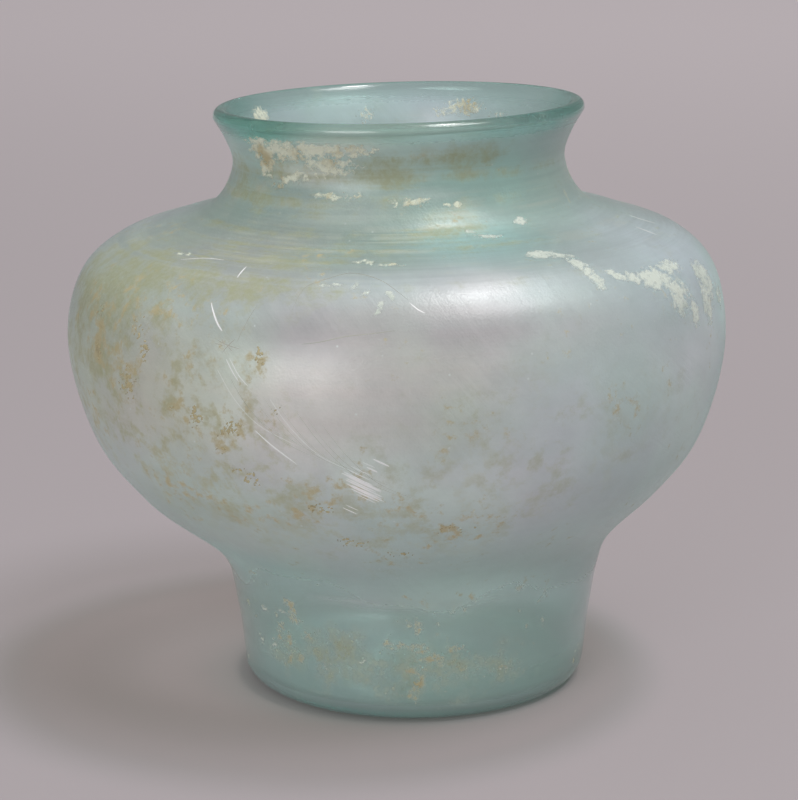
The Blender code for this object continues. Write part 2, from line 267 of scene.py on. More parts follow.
# Weathering, with painted highlights, reflections and shade among the film and tint spots: turn in degrees,
# height in mm, half width in degrees, half height in mm, strength or colour
FILM_SPOTS = (
    # Painted highlight: thicker pale film for the bright streaky patch low on the front
    (-94.5, 54.0, 8.0, 6.0, 0.80),
    (-28.0, 66.0, 26.0, 22.0, 0.35),
    (-92.0, 104.0, 60.0, 6.0, 0.35),
    (-95.0, 64.0, 64.0, 36.0, 0.60),
    # Partly painted highlight: thicker film for the soft glow left of the middle
    (-105.0, 71.0, 24.0, 22.0, 0.60),
    (-93.0, 46.0, 62.0, 18.0, 0.40),
    (-142.0, 64.0, 36.0, 26.0, 0.50),
    (-124.0, 66.0, 26.0, 26.0, 0.50),
    (85.0, 60.0, 95.0, 34.0, 0.55),
    (-75.0, 80.0, 40.0, 12.0, 0.55),
    (-150.0, 86.0, 50.0, 10.0, 0.25),
    # Painted reflection: thicker film where the right shoulder looks bright at a grazing view
    (-20.0, 85.0, 34.0, 10.0, 0.50),
    (90.0, 106.0, 85.0, 9.0, 0.45),
    (-95.0, 14.0, 150.0, 22.0, 0.18),
    (-92.0, 24.4, 44.0, 1.6, 0.55),
    (-92.0, 111.0, 50.0, 5.0, 0.6),
    (-112.0, 108.6, 26.0, 3.5, 0.8),
    (-122.0, 102.4, 22.0, 3.6, 0.7),
    (-104.0, 91.5, 62.0, 5.0, 0.5),
    (-10.0, 76.0, 18.0, 10.0, 0.5),
)
TINT_SPOTS = (
    # Teal glass of the foot, its tint darkened partly as painted shade under the belly
    (-92.0, 8.0, 400.0, 26.0, (0.305, 0.475, 0.45)),
    (-92.0, 27.0, 400.0, 8.0, (0.56, 0.65, 0.63)),
    (-92.0, 99.0, 400.0, 12.0, (0.62, 0.67, 0.61)),
    (-60.0, 100.0, 40.0, 10.0, (0.46, 0.66, 0.62)),
    (-104.0, 92.0, 66.0, 4.4, (0.22, 0.275, 0.24)),
    (-158.0, 72.0, 34.0, 30.0, (0.66, 0.63, 0.50)),
    (-130.0, 66.0, 30.0, 27.0, (0.73, 0.645, 0.56)),
    (-125.0, 46.0, 40.0, 18.0, (0.66, 0.68, 0.64)),
    # Partly painted highlight: pale tint brightening the soft glow left of the middle
    (-105.0, 67.5, 30.0, 20.0, (0.89, 0.87, 0.775)),
    (-98.0, 80.0, 30.0, 7.5, (0.50, 0.47, 0.455)),
    (-54.0, 78.0, 26.0, 9.0, (0.60, 0.56, 0.575)),
    (-84.0, 70.0, 26.0, 22.0, (0.70, 0.665, 0.60)),
    (-80.0, 81.0, 20.0, 6.5, (0.51, 0.475, 0.46)),
    (-74.0, 52.0, 32.0, 12.0, (0.80, 0.80, 0.80)),
    (-46.0, 64.0, 38.0, 22.0, (0.82, 0.83, 0.85)),
    # Painted reflection: pale bluish tint where the right shoulder looks bright at a grazing view
    (-22.0, 84.0, 40.0, 14.0, (0.70, 0.82, 0.85)),
    (-25.0, 62.0, 28.0, 24.0, (0.95, 1.0, 1.0)),
    # Partly painted reflection: bright aqua tint at the right edge of the belly
    (-5.0, 58.0, 24.0, 26.0, (0.68, 0.97, 0.95)),
    (-25.0, 29.0, 40.0, 9.0, (0.42, 0.53, 0.51)),
    (-140.0, 29.0, 34.0, 9.0, (0.46, 0.76, 0.76)),
    (-140.0, 90.0, 50.0, 8.0, (0.40, 0.40, 0.35)),
    (-98.0, 90.0, 30.0, 2.2, (0.34, 0.43, 0.37)),
    (-92.0, 111.0, 50.0, 5.0, (0.95, 0.92, 0.86)),
    (-112.0, 108.6, 26.0, 3.5, (1.0, 0.92, 0.84)),
    (-122.0, 102.4, 22.0, 3.6, (0.82, 0.84, 0.74)),
    # Painted highlight: pale tint for the bright streaky patch low on the front
    (-94.5, 54.0, 8.0, 6.0, (0.88, 0.87, 0.85)),
    (-68.0, 91.4, 30.0, 4.0, (0.33, 0.54, 0.55)),
    (-108.0, 96.5, 24.0, 4.0, (0.74, 0.72, 0.66)),
    # Painted highlight at the root of the neck
    (-82.0, 98.8, 18.0, 1.8, (0.95, 0.97, 0.95)),
    (-128.0, 86.0, 36.0, 4.5, (0.52, 0.50, 0.46)),
    # Painted highlight: brightens the upper left of the main highlight on the shoulder
    (-73.0, 86.5, 10.0, 3.0, (0.80, 0.80, 0.78)),
    (-10.0, 76.0, 18.0, 10.0, (0.72, 0.95, 0.92)),
    (90.0, 106.0, 90.0, 10.0, (0.84, 0.86, 0.95)),
    (88.0, 31.0, 104.0, 18.0, (0.40, 0.54, 0.51)),
)
SOIL_SPOTS = (
    (-146.0, 82.0, 38.0, 9.0, 0.75),
    (-154.0, 70.0, 30.0, 24.0, 0.62),
    (-128.0, 60.0, 34.0, 24.0, 0.25),
    (-138.0, 100.0, 42.0, 8.0, 0.70),
    (-162.0, 101.0, 24.0, 7.0, 0.65),
    (-95.0, 102.5, 18.0, 8.0, 0.76),
    (-68.0, 105.0, 24.0, 5.0, 0.74),
    (-75.0, 94.0, 20.0, 2.6, 0.85),
    (-122.0, 91.5, 40.0, 5.0, 0.40),
    (-150.0, 86.0, 30.0, 5.0, 0.55),
    (-116.0, 86.6, 28.0, 4.0, 0.62),
    (-88.0, 91.8, 34.0, 4.2, 0.30),
    (-98.0, 46.0, 44.0, 16.0, 0.26),
    (-70.0, 58.0, 34.0, 24.0, 0.24),
    (60.0, 84.0, 70.0, 10.0, 0.60),
    (110.0, 101.0, 60.0, 7.0, 0.60),
    (-110.0, 11.0, 46.0, 10.0, 0.55),
    (-70.0, 9.0, 40.0, 8.0, 0.45),
)
SPECK_SPOTS = (
    (-146.0, 66.0, 40.0, 28.0, 1.0),
    (-124.0, 60.0, 30.0, 27.0, 0.85),
    (-94.0, 44.0, 44.0, 14.0, 0.36),
    (-62.0, 58.0, 44.0, 24.0, 0.27),
    (-130.0, 84.0, 30.0, 6.0, 0.6),
    (70.0, 58.0, 80.0, 26.0, 0.6),
    (-95.0, 14.0, 60.0, 14.0, 0.45),
)

# Film: where it ends at lip and waist, its shares outside and inside, then streaks and soft spots
LIP_BARE_START = 5.0 * MM
LIP_BARE_END = 2.0 * MM
LIP_FILM_LOSS = 0.4
DARK_LIP_FILM_LOSS = 0.6
LIP_DEEP = 0.15
DARK_LIP_DEEP = 0.80
NECK_DEEP = 0.32
NECK_DEEP_START = 1.0 * MM
# Painted shade: the left of the lip is tinted deep and darker for the dark reflections it shows; the dim
# spot on the right darkens it less
LIP_SHADE_SPOT = (-165.0, 110.0, 60.0, 40.0)
DIM_LIP_SPOT = (-8.0, 110.0, 44.0, 40.0)
DIM_LIP = 0.6
HAZE_REACH = 4.0 * MM
HAZE_WANDER = 7.0 * MM
HAZE_TURN_NOISE = 3.0
HAZE_RISE_NOISE = 60.0
CLEAR_GLASS = 0.86
HAZE_TAKES = 0.36
FILM_SPOT_SHARE = 0.8
INNER_FILM = 0.1
INNER_SPOT_SHARE = 0.6
FLOOR_FILM = 0.35
FLOOR_FILM_ENDS = (7.0 * MM, 10.0 * MM)
SHADE_ENDS = (3.0 * MM, 8.0 * MM)
STREAK_BELOW = 3.0 * MM
STREAK_ABOVE = 2.0 * MM
STREAK_LIP_END = 4.0 * MM
STREAK_LIP_LOSS = 0.8
STREAK_LEAST = 0.10
SPOT_SOFTNESS = 0.8
STAIN_REACH = 2.2
STAIN_LEAST = 0.6

# Noise of each finish: scale per metre, detail and roughness
GRAIN_NOISE = (900.0, 3.0, 0.6)
PITTING_NOISE = (2400.0, 2.0, 0.5)
SOIL_NOISE = (150.0, 7.0, 0.68)
SPECK_NOISE = (420.0, 6.0, 0.65)
SPECK_GROUPS = (70.0, 4.0, 0.55)
WISP_NOISE = (90.0, 5.0, 0.62)
WIPE_PATCHES = (48.0, 4.0, 0.6)
PEARL_NOISE = (34.0, 3.0, 0.5)
CLOUD_NOISE = (130.0, 7.0, 0.7)
MOTTLE_NOISE = (300.0, 6.0, 0.68)
MOTTLE_GROUPS = (75.0, 4.0, 0.55)
CRUST_PATCHES = (160.0, 5.0, 0.6)
CRUST_GRAIN = (1400.0, 4.0, 0.65)
CRUST_WEAR = (520.0, 5.0, 0.65)
SEED_SCALE = 260.0

# Tooling rings and wiped strokes: stretch of their noise and its fineness
RING_STRETCH = (14.0, 14.0, 420.0)
RING_DETAIL = (5.0, 0.6)
RING_FINENESS = 1.0
RING_TINT_FINENESS = 2.6
WISP_FINENESS = 1.3
WIPE_SLANT = math.radians(41.0)
WIPE_STRETCH = (1000.0, 60.0, 60.0)
WIPE_NOISE = (1.0, 4.0, 0.6)

# Steps of each finish: the reading at its start and end, then the shares there
WIPED_STEP = (0.42, 0.64, 0.15, 1.0)
SOIL_BLOT_STEP = (0.25, 0.75, -0.5, 0.5)
SOIL_RING_STEP = (0.3, 0.7, -0.40, 0.40)
SOIL_STEP = (0.20, 1.05, 0.0, 0.8)
SOIL_GRAIN_STEP = (0.30, 0.60, 0.6, 1.0)
SPECK_GROUP_STEP = (0.35, 0.70, -0.14, 0.10)
SPECK_STEP = (0.605, 0.79, 0.0, 0.9)
DARK_SPECK_STEP = (0.80, 0.94, 0.0, 1.0)
WISP_LINE_STEP = (0.46, 0.64, 0.0, 1.0)
WISP_PLACE_STEP = (0.46, 0.62, 0.0, 0.4)
SEED_STEP = (0.03, 0.075, 0.65, 0.0)
PEARL_STEP = (0.35, 0.65, 0.0, 1.0)
CLOUD_STEP = (0.28, 0.72, 0.89, 1.07)
STROKE_STEP = (0.30, 0.70, 0.95, 1.035)
STROKE_ROUGH_STEP = (0.3, 0.7, 0.0, 0.08)
MOTTLE_STEP = (0.475, 0.61, 0.0, 1.0)
RING_TINT_STEP = (0.32, 0.68, -0.12, 0.12)
FILM_RING_STEP = (0.30, 0.72, 0.96, 1.06)
CRUST_PATCH_STEP = (0.50, 0.72, 0.0, 1.0)
CRUST_GRAIN_STEP = (0.62, 0.72, 0.0, 0.6)
CRUST_ROUGH_STEP = (0.3, 0.7, 0.7, 0.95)

# How strongly specks gather, and how fine and broad mottles mix
SPECK_PULL = 0.10
STAIN_PULL = 0.12
FINE_MOTTLE = 0.62
BROAD_MOTTLE = 0.38

# Glass: what film, soil and specks take of its clearness and add to its roughness, then its relief
GLASS_IOR = 1.5
GLASS_DENSITY = 34.0
GLASS_COAT = 0.22
COAT_ROUGHNESS = 0.2
FILM_DULLS = 0.70
SOIL_DULLS = 0.75
SPECKS_DULL = 0.9
GLASS_ROUGHNESS = 0.14
HAZE_ROUGHNESS = 0.16
FILM_ROUGHNESS = 0.08
SOIL_ROUGHNESS = 0.2
SPECK_ROUGHNESS = 0.3
RING_RELIEF = 0.6
GRAIN_RELIEF = 0.35
PITTING_RELIEF = 1.1
WIPE_RELIEF = 2.2
GLASS_RELIEF = 0.13
GLASS_RELIEF_DEPTH = 0.3 * MM

# Crusts: their relief, and the shares of the feather at which they start and are whole
PATCH_RELIEF = 2.0
CRUST_RELIEF = 0.5
CRUST_RELIEF_DEPTH = 0.15 * MM
WEAR_SHARE = 1.1
WEAR_START = 0.5
WEAR_END = 1.75
CRUST_ALPHA = 0.76

# Stage, in metres: soft boxes as place and sides, the place they face, the floor and the camera
KEY_BOX = ((1.00, -0.70, 2.30), (1.30, 0.90))
WINDOW_BOX = ((0.52, 0.00, 2.28), (0.50, 0.36))
FILL_BOX = ((-1.25, -2.20, 0.55), (1.50, 1.20))
JAR_MIDDLE = (0.0, 0.0, 0.06)
FLOOR_SIDES = 96
FLOOR_RADIUS = 9.0
FLOOR_DROP = 0.05 * MM
# Painted light: the floor is painted paler from the first to the second distance behind the jar
FAR_LIGHT_SPAN = (0.1, 2.3)
PAPER_ROUGHNESS = 0.9
PAPER_GLOSS = 0.1
SENSOR_WIDTH = 36.0
NEAREST_SEEN = 0.01

# Nodes that the glass stands for
GLASS_NODES = ("base_pad", "foot_wall", "body_bubble", "neck_collar", "rim_lip")

Spot = namedtuple("Spot", "turn length radius wide high tilt cover")


def size(name, description, millimetres):
    """Length property with its default in millimetres."""
    return bpy.props.FloatProperty(
        name=name, description=description, default=millimetres * MM, unit="LENGTH", precision=5
    )


def colour(name, description, default):
    """Linear colour property."""
    return bpy.props.FloatVectorProperty(
        name=name, description=description, default=default, subtype="COLOR", size=3, min=0.0, max=1.0
    )


def power(name, description, watts):
    """Lamp power property."""
    return bpy.props.FloatProperty(name=name, description=description, default=watts, unit="POWER")


def number(name, description, default):
    """Plain number property."""
    return bpy.props.FloatProperty(name=name, description=description, default=default)


class JarShape(bpy.types.PropertyGroup):
    """Sizes of the blown glass, from the table up."""

    heel_curve: size("Heel curve", "Radius of the rounded heel", 4.0)
    foot_rise: size("Foot rise", "From the heel curve to the waist", 22.6)
    flank_rise: size("Flank rise", "From the waist to the widest place", 41.4)
    shoulder_rise: size("Shoulder rise", "From the widest place to the shoulder's edge", 19.0)
    roof_rise: size("Roof rise", "From the shoulder's edge to the root of the neck", 6.9)
    neck_rise: size("Neck rise", "From the root of the neck to the throat", 7.4)
    flare_rise: size("Flare rise", "From the throat to the top of the lip", 10.7)
    heel_radius: size("Heel radius", "Outer radius above the heel curve", 33.3)
    waist_radius: size("Waist radius", "Outer radius where foot and body meet", 37.7)
    belly_radius: size("Belly radius", "Outer radius at the widest place", 62.8)
    shoulder_radius: size("Shoulder radius", "Outer radius at the shoulder's edge", 54.0)
    root_radius: size("Root radius", "Outer radius at the root of the neck", 35.1)
    throat_radius: size("Throat radius", "Outer radius at the narrowest place of the neck", 31.4)
    mouth_radius: size("Mouth radius", "Outer radius of the lip", 35.0)
    base_glass: size("Base glass", "Thickness of the base pad", 2.0)
    foot_glass: size("Foot glass", "Thickness of the foot", 2.2)
    belly_glass: size("Belly glass", "Thickness of the belly", 1.8)
    neck_glass: size("Neck glass", "Thickness of the neck", 2.0)
    lip_glass: size("Lip glass", "Thickness of the rounded lip", 3.0)
    rest_width: size("Rest width", "Width of the flat resting ring", 7.0)
    kick_height: size("Kick height", "Rise of the pushed-up underside", 4.5)
    floor_corner: size("Floor corner", "Width of the rounded corner of the floor", 2.4)
    corner_wall: size("Corner wall", "Where the floor's corner meets the wall, along it", 0.6)
    pontil_radius: size("Pontil radius", "Middle radius of the pontil scar", 7.5)
    pontil_width: size("Pontil width", "Width of the pontil scar", 3.0)
    pontil_glass: size("Pontil glass", "Thickness of the pontil scar", 0.8)
    foot_aside: size("Foot aside", "How far the foot stands aside of the belly", 3.0)
    neck_aside: size("Neck aside", "How far the neck stands aside of the belly", 0.5)
    aside_below: size("Aside below", "Where the foot's offset starts, below the waist", 4.6)
    aside_above: size("Aside above", "Where the foot's offset ends, above the waist", 11.4)
    lip_slope: number("Lip slope", "Rise of the lip to +X", 0.0225)
    swell: size("Swell", "Height of the slow unevenness of the wall", 0.22)
    ripple: size("Ripple", "Height of the fine tooling rings", 0.004)


class JarColours(bpy.types.PropertyGroup):
    """Colours of the glass, its weathering and its crusts."""

    glass: colour("Glass", "Tint of the clear glass surface", (0.85, 0.965, 0.95))
    deep: colour("Deep", "Tint of the glass at the lip and neck", (0.36, 0.70, 0.62))
    depth: colour("Depth", "Colour that light takes inside the glass", (0.10, 0.92, 0.88))
    film: colour("Film", "Pearly weathering film", (0.64, 0.685, 0.70))
    soil: colour("Soil", "Thin stain of soil", (0.40, 0.415, 0.235))
    earth: colour("Earth", "Ochre specks and crusts", (0.53, 0.465, 0.27))
    earth_dark: colour("Dark earth", "Dark grains of soil", (0.38, 0.32, 0.17))
    beige: colour("Beige", "Pale soil on the neck", (0.83, 0.88, 0.72))
    lime: colour("Lime", "White lime crusts", (0.69, 0.745, 0.665))
    lime_dark: colour("Dark lime", "Stained lime", (0.52, 0.58, 0.52))
    pearl_rose: colour("Rose pearl", "Rose hue of the film", (1.0, 0.915, 1.0))
    pearl_green: colour("Green pearl", "Green hue of the film", (0.93, 1.0, 0.97))
    mottle: colour("Mottle", "Brown mottles in the film", (0.55, 0.475, 0.26))
    wisps: colour("Wisps", "Pale wisps along the tooling rings", (0.76, 0.77, 0.69))
    seeds: colour("Seeds", "Small bubbles under the surface", (0.93, 0.96, 0.96))
    # Painted highlight: white and grain of the pale scratch strips, partly real scratches and partly glints
    glint_scratch: colour("Pale scratch", "Fresh scratches", (1.0, 1.0, 1.0))
    pale_grain: colour("Pale grain", "Grains in the fresh scratches", (0.90, 0.94, 0.95))
    dark_scratch: colour("Dark scratch", "Scratches that hold dirt", (0.50, 0.50, 0.44))
    dark_grain: colour("Dark grain", "Grains in the scratches that hold dirt", (0.38, 0.39, 0.34))
    wall_light: colour("Wall light", "Light that the wall lets through", (0.87, 0.83, 0.80))
    heel_light: colour("Heel light", "Light that the thick heel lets through", (0.48, 0.50, 0.485))
    crust_light: colour("Crust light", "Light that a crust lets through", (0.95, 0.95, 0.95))


class JarStage(bpy.types.PropertyGroup):
    """Camera, floor and light."""

    floor: colour("Floor", "Colour of the floor", (0.465, 0.418, 0.434))
    surround: colour("Surround", "Colour of the room round the stage", (0.26, 0.26, 0.26))
    camera_place: bpy.props.FloatVectorProperty(
        name="Camera place",
        description="Where the camera stands",
        default=(0.0039, -0.4737, 0.1675),
        unit="LENGTH",
    )
    camera_turn: bpy.props.FloatVectorProperty(
        name="Camera turn",
        description="Pitch down, turn to the left and roll",
        default=(0.235, 0.0076, -0.0052),
    )
    camera_lens: number("Camera lens", "Focal length in mm", 113.1)
    key_power: power("Key power", "Wide soft box over the front right", 24.0)
    fill_power: power("Fill power", "Soft box at the front left", 20.0)
    window_power: power("Window power", "Small soft box over the right", 16.0)
    # Painted light: how much paler the far floor is painted
    far_painted_light: number("Far lift", "How much paler the far floor is", 1.1)
    ambient: number("Ambient", "Strength of the room's own light", 1.0)


def shape():
    """Sizes of the jar."""
    return bpy.context.scene.jar_shape


def colours():
    """Colours of the jar."""
    return bpy.context.scene.jar_colours


def stage():
    """Camera, floor and light."""
    return bpy.context.scene.jar_stage


def ramp(value, low, high):
    """Smooth step from 0 at low to 1 at high."""
    share = np.clip((np.asarray(value, float) - low) / (high - low), 0.0, 1.0)
    return share * share * (3.0 - 2.0 * share)


def heights():
    """Heights of waist, belly, shoulder, root, throat and top above the table."""
    jar = shape()
    rises = (jar.heel_curve + jar.foot_rise, jar.flank_rise, jar.shoulder_rise)
    rises += (jar.roof_rise, jar.neck_rise, jar.flare_rise)
    return np.cumsum(rises)


def lean(points):
    """Upright points of the jar, moved as the blown shape leans."""
    jar = shape()
    waist, belly, _shoulder, root, _throat, top = heights()
    x, y, z = points.T
    foot = jar.foot_aside * (1.0 - ramp(z, waist - jar.aside_below, waist + jar.aside_above))
    neck = jar.neck_aside * ramp(z, belly, root)
    lift = jar.lip_slope * x * ramp(z, belly, top)
    return np.column_stack((x + foot + neck, y, z + lift))


def kick(radius):
    """Height of the pushed-up underside."""
    jar = shape()
    share = np.minimum(np.asarray(radius) / kick_radius(), 1.0)
    return jar.kick_height * (1.0 + np.cos(np.pi * share)) / 2.0


def kick_radius():
    """Radius at which the resting ring meets the kick."""
    jar = shape()
    return jar.heel_radius - jar.heel_curve - jar.rest_width


def lip_arc(angle):
    """Points of the rounded lip, with angle 0 at its outermost place."""
    jar = shape()
    radius = jar.lip_glass / 2.0
    angle = np.asarray(angle)
    across = jar.mouth_radius - radius + radius * np.cos(angle)
    return np.stack((across, heights()[-1] - radius + radius * np.sin(angle)), axis=-1)


def bend(start, end, shares):
    """Station between two others; each is a radius, a height and a thickness."""
    rise, run = shares
    return start + (end - start) * np.array((run, rise, rise))


def stations():
    """Stations of the outer wall from the heel to the lip."""
    jar = shape()
    waist_z, belly_z, shoulder_z, root_z, throat_z, _top = heights()
    heel = np.array((jar.heel_radius, jar.heel_curve, jar.foot_glass))
    waist = np.array((jar.waist_radius, waist_z, jar.foot_glass))
    belly = np.array((jar.belly_radius, belly_z, jar.belly_glass))
    shoulder = np.array((jar.shoulder_radius, shoulder_z, jar.belly_glass))
    root = np.array((jar.root_radius, root_z, jar.neck_glass))
    throat = np.array((jar.throat_radius, throat_z, jar.neck_glass))
    lip = np.append(lip_arc(LIP_TURN), jar.lip_glass)
    lower = [heel, bend(heel, waist, FOOT_BEND), waist]
    lower += [bend(waist, belly, FLANK_BEND), bend(waist, belly, HIP_BEND), belly]
    upper = [bend(belly, shoulder, SHOULDER_BEND), shoulder, bend(shoulder, root, ROOF_BEND)]
    return lower + upper + [root, throat, bend(throat, lip, FLARE_BEND), lip]


def smooth_through(knots):
    """Points of a smooth curve through the knots that doesn't overshoot where they lie close."""
    knots = [2.0 * knots[0] - knots[1]] + knots + [2.0 * knots[-1] - knots[-2]]
    points = []
    for a, b, c, d in zip(knots, knots[1:], knots[2:], knots[3:]):
        t1 = math.sqrt(np.linalg.norm(b - a))
        t2 = t1 + math.sqrt(np.linalg.norm(c - b))
        t3 = t2 + math.sqrt(np.linalg.norm(d - c))
        t = (t1 + (t2 - t1) * np.arange(SPLINE_STEPS) / SPLINE_STEPS)[:, None]
        ab = a + (b - a) * t / t1
        bc = b + (c - b) * (t - t1) / (t2 - t1)
        cd = c + (d - c) * (t - t2) / (t3 - t2)
        abc = ab + (bc - ab) * t / t2
        bcd = bc + (cd - bc) * (t - t1) / (t3 - t1)
        points.append(abc + (bcd - abc) * (t - t1) / (t2 - t1))
    return np.vstack(points + [knots[-2][None]])


class Run:
    """A line of (radius, height, thickness) points that is read by the length along it."""

    def __init__(self, points, reach=None):
        self.points = np.asarray(points, float)
        steps = np.linalg.norm(np.diff(self.points[:, :2], axis=0), axis=1)
        self.reach = np.concatenate(([0.0], np.cumsum(steps))) if reach is None else reach
        self.length = self.reach[-1]
        slope = np.gradient(self.points[:, :2], self.reach, axis=0)
        self.left = np.column_stack((-slope[:, 1], slope[:, 0]))

    def read(self, length, columns):
        """Columns of values of the run at these lengths."""
        return np.column_stack([np.interp(length, self.reach, column) for column in columns.T])

    def at(self, length):
        """Points at these lengths, the unit normals to the left and the thickness."""
        points = self.read(length, self.points)
        left = self.read(length, self.left)
        left /= np.linalg.norm(left, axis=1)[:, None]
        return points[:, :2], left, points[:, 2]


def wall_run():
    """The outside of the wall from the heel to the lip."""
    return Run(smooth_through(stations()))


def inner_run(wall):
    """The inside of the wall, read by the length along the outside."""
    point, inward, glass = wall.at(wall.reach)
    return Run(np.column_stack((point + inward * glass[:, None], glass)), wall.reach)


def floor_run(wall):
    """The inside of the base pad, from the axis over the floor and up its corner."""
    jar = shape()
    point, inward, glass = wall.at(np.array([jar.corner_wall]))
    wall_foot = (point + inward * glass[:, None])[0]
    flat = wall_foot[0] - jar.floor_corner
    across = np.linspace(0.0, flat, FLOOR_STEPS, endpoint=False)
    angle = np.linspace(0.0, math.pi / 2.0, ARC_STEPS + 1)
    corner_rise = wall_foot[1] - jar.base_glass
    radius = np.concatenate((across, flat + jar.floor_corner * np.sin(angle)))
    height = np.concatenate((kick(across), corner_rise * (1.0 - np.cos(angle)))) + jar.base_glass
    return Run(np.column_stack((radius, height, np.zeros_like(radius))))


def unevenness(x, y, length):
    """How far the blown wall departs from the turned one at each place."""
    jar = shape()
    lift = np.empty(len(x))
    for index, (px, py, run) in enumerate(zip(x, y, length)):
        slow = noise.noise(Vector((px * SWELL_ACROSS, py * SWELL_ACROSS, run * SWELL_ALONG)))
        along = run * RIPPLE_ALONG + RIPPLE_SHIFT
        rings = noise.noise(Vector((px * RIPPLE_ACROSS, py * RIPPLE_ACROSS, along)))
        lift[index] = jar.swell * slow + jar.ripple * rings
    return lift


def on_run(run, turn, length, off, follow):
    """Places round the axis and along a run, lifted to its right and following the unevenness."""
    point, left, _glass = run.at(length)
    x, y = point[:, 0] * np.cos(turn), point[:, 0] * np.sin(turn)
    if follow:
        off = off + follow * unevenness(x, y, length)
    seat = point - left * np.broadcast_to(off, len(turn))[:, None]
    return lean(np.column_stack((seat[:, 0] * np.cos(turn), seat[:, 0] * np.sin(turn), seat[:, 1])))


def read_points(mesh):
    """Places of all points of a mesh."""
    points = np.empty(len(mesh.vertices) * 3)
    mesh.vertices.foreach_get("co", points)
    return points.reshape(-1, 3)


def write_points(mesh, points):
    """Moves all points of a mesh to these places."""
    mesh.vertices.foreach_set("co", np.ascontiguousarray(points, np.float32).ravel())
    mesh.update()


def mark(mesh, name, values):
    """Stores a number or a colour for each point, which materials read by its name."""
    single = np.ndim(values) == 1
    layer = mesh.attributes.new(name, "FLOAT" if single else "FLOAT_COLOR", "POINT")
    flat = np.ascontiguousarray(values, np.float32).ravel()
    layer.data.foreach_set("value" if single else "color", flat)


def deselect():
    """Leaves edit mode and everything deselected."""
    if bpy.context.mode != "OBJECT":
        bpy.ops.object.mode_set(mode="OBJECT")
    bpy.ops.object.select_all(action="DESELECT")


def turned(name, run, turns, closed=False):
    """Object turned round Z from a run of (radius, height) points."""
    deselect()
    bpy.ops.mesh.primitive_plane_add(size=MM)
    piece = bpy.context.object
    piece.name = piece.data.name = name
    bpy.ops.object.mode_set(mode="EDIT")
    bpy.ops.mesh.merge(type="CENTER")
    bpy.ops.transform.translate(value=(run[0][0], 0.0, run[0][1]))
    loop = list(run) + ([run[0]] if closed else [])
    for start, end in zip(loop, loop[1:]):
        step = (end[0] - start[0], 0.0, end[1] - start[1])
        bpy.ops.mesh.extrude_vertices_move(TRANSFORM_OT_translate={"value": step})
    bpy.ops.mesh.select_all(action="SELECT")
    bpy.ops.mesh.remove_doubles(threshold=MERGE)
    bpy.ops.mesh.spin(steps=turns, angle=math.tau, center=(0.0, 0.0, 0.0), axis=(0.0, 0.0, 1.0))
    bpy.ops.mesh.select_all(action="SELECT")
    bpy.ops.mesh.remove_doubles(threshold=MERGE)
    bpy.ops.mesh.normals_make_consistent(inside=False)
    bpy.ops.object.mode_set(mode="OBJECT")
    bpy.ops.object.shade_smooth()
    return piece


def finish_piece(piece, material, slot, *nodes):
    """Gives a piece its material and its body, and hides the nodes it stands for; the slot is not used."""
    piece.data.materials.clear()
    piece.data.materials.append(material)
    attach(piece, "root")
    if nodes:
        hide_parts(*nodes)


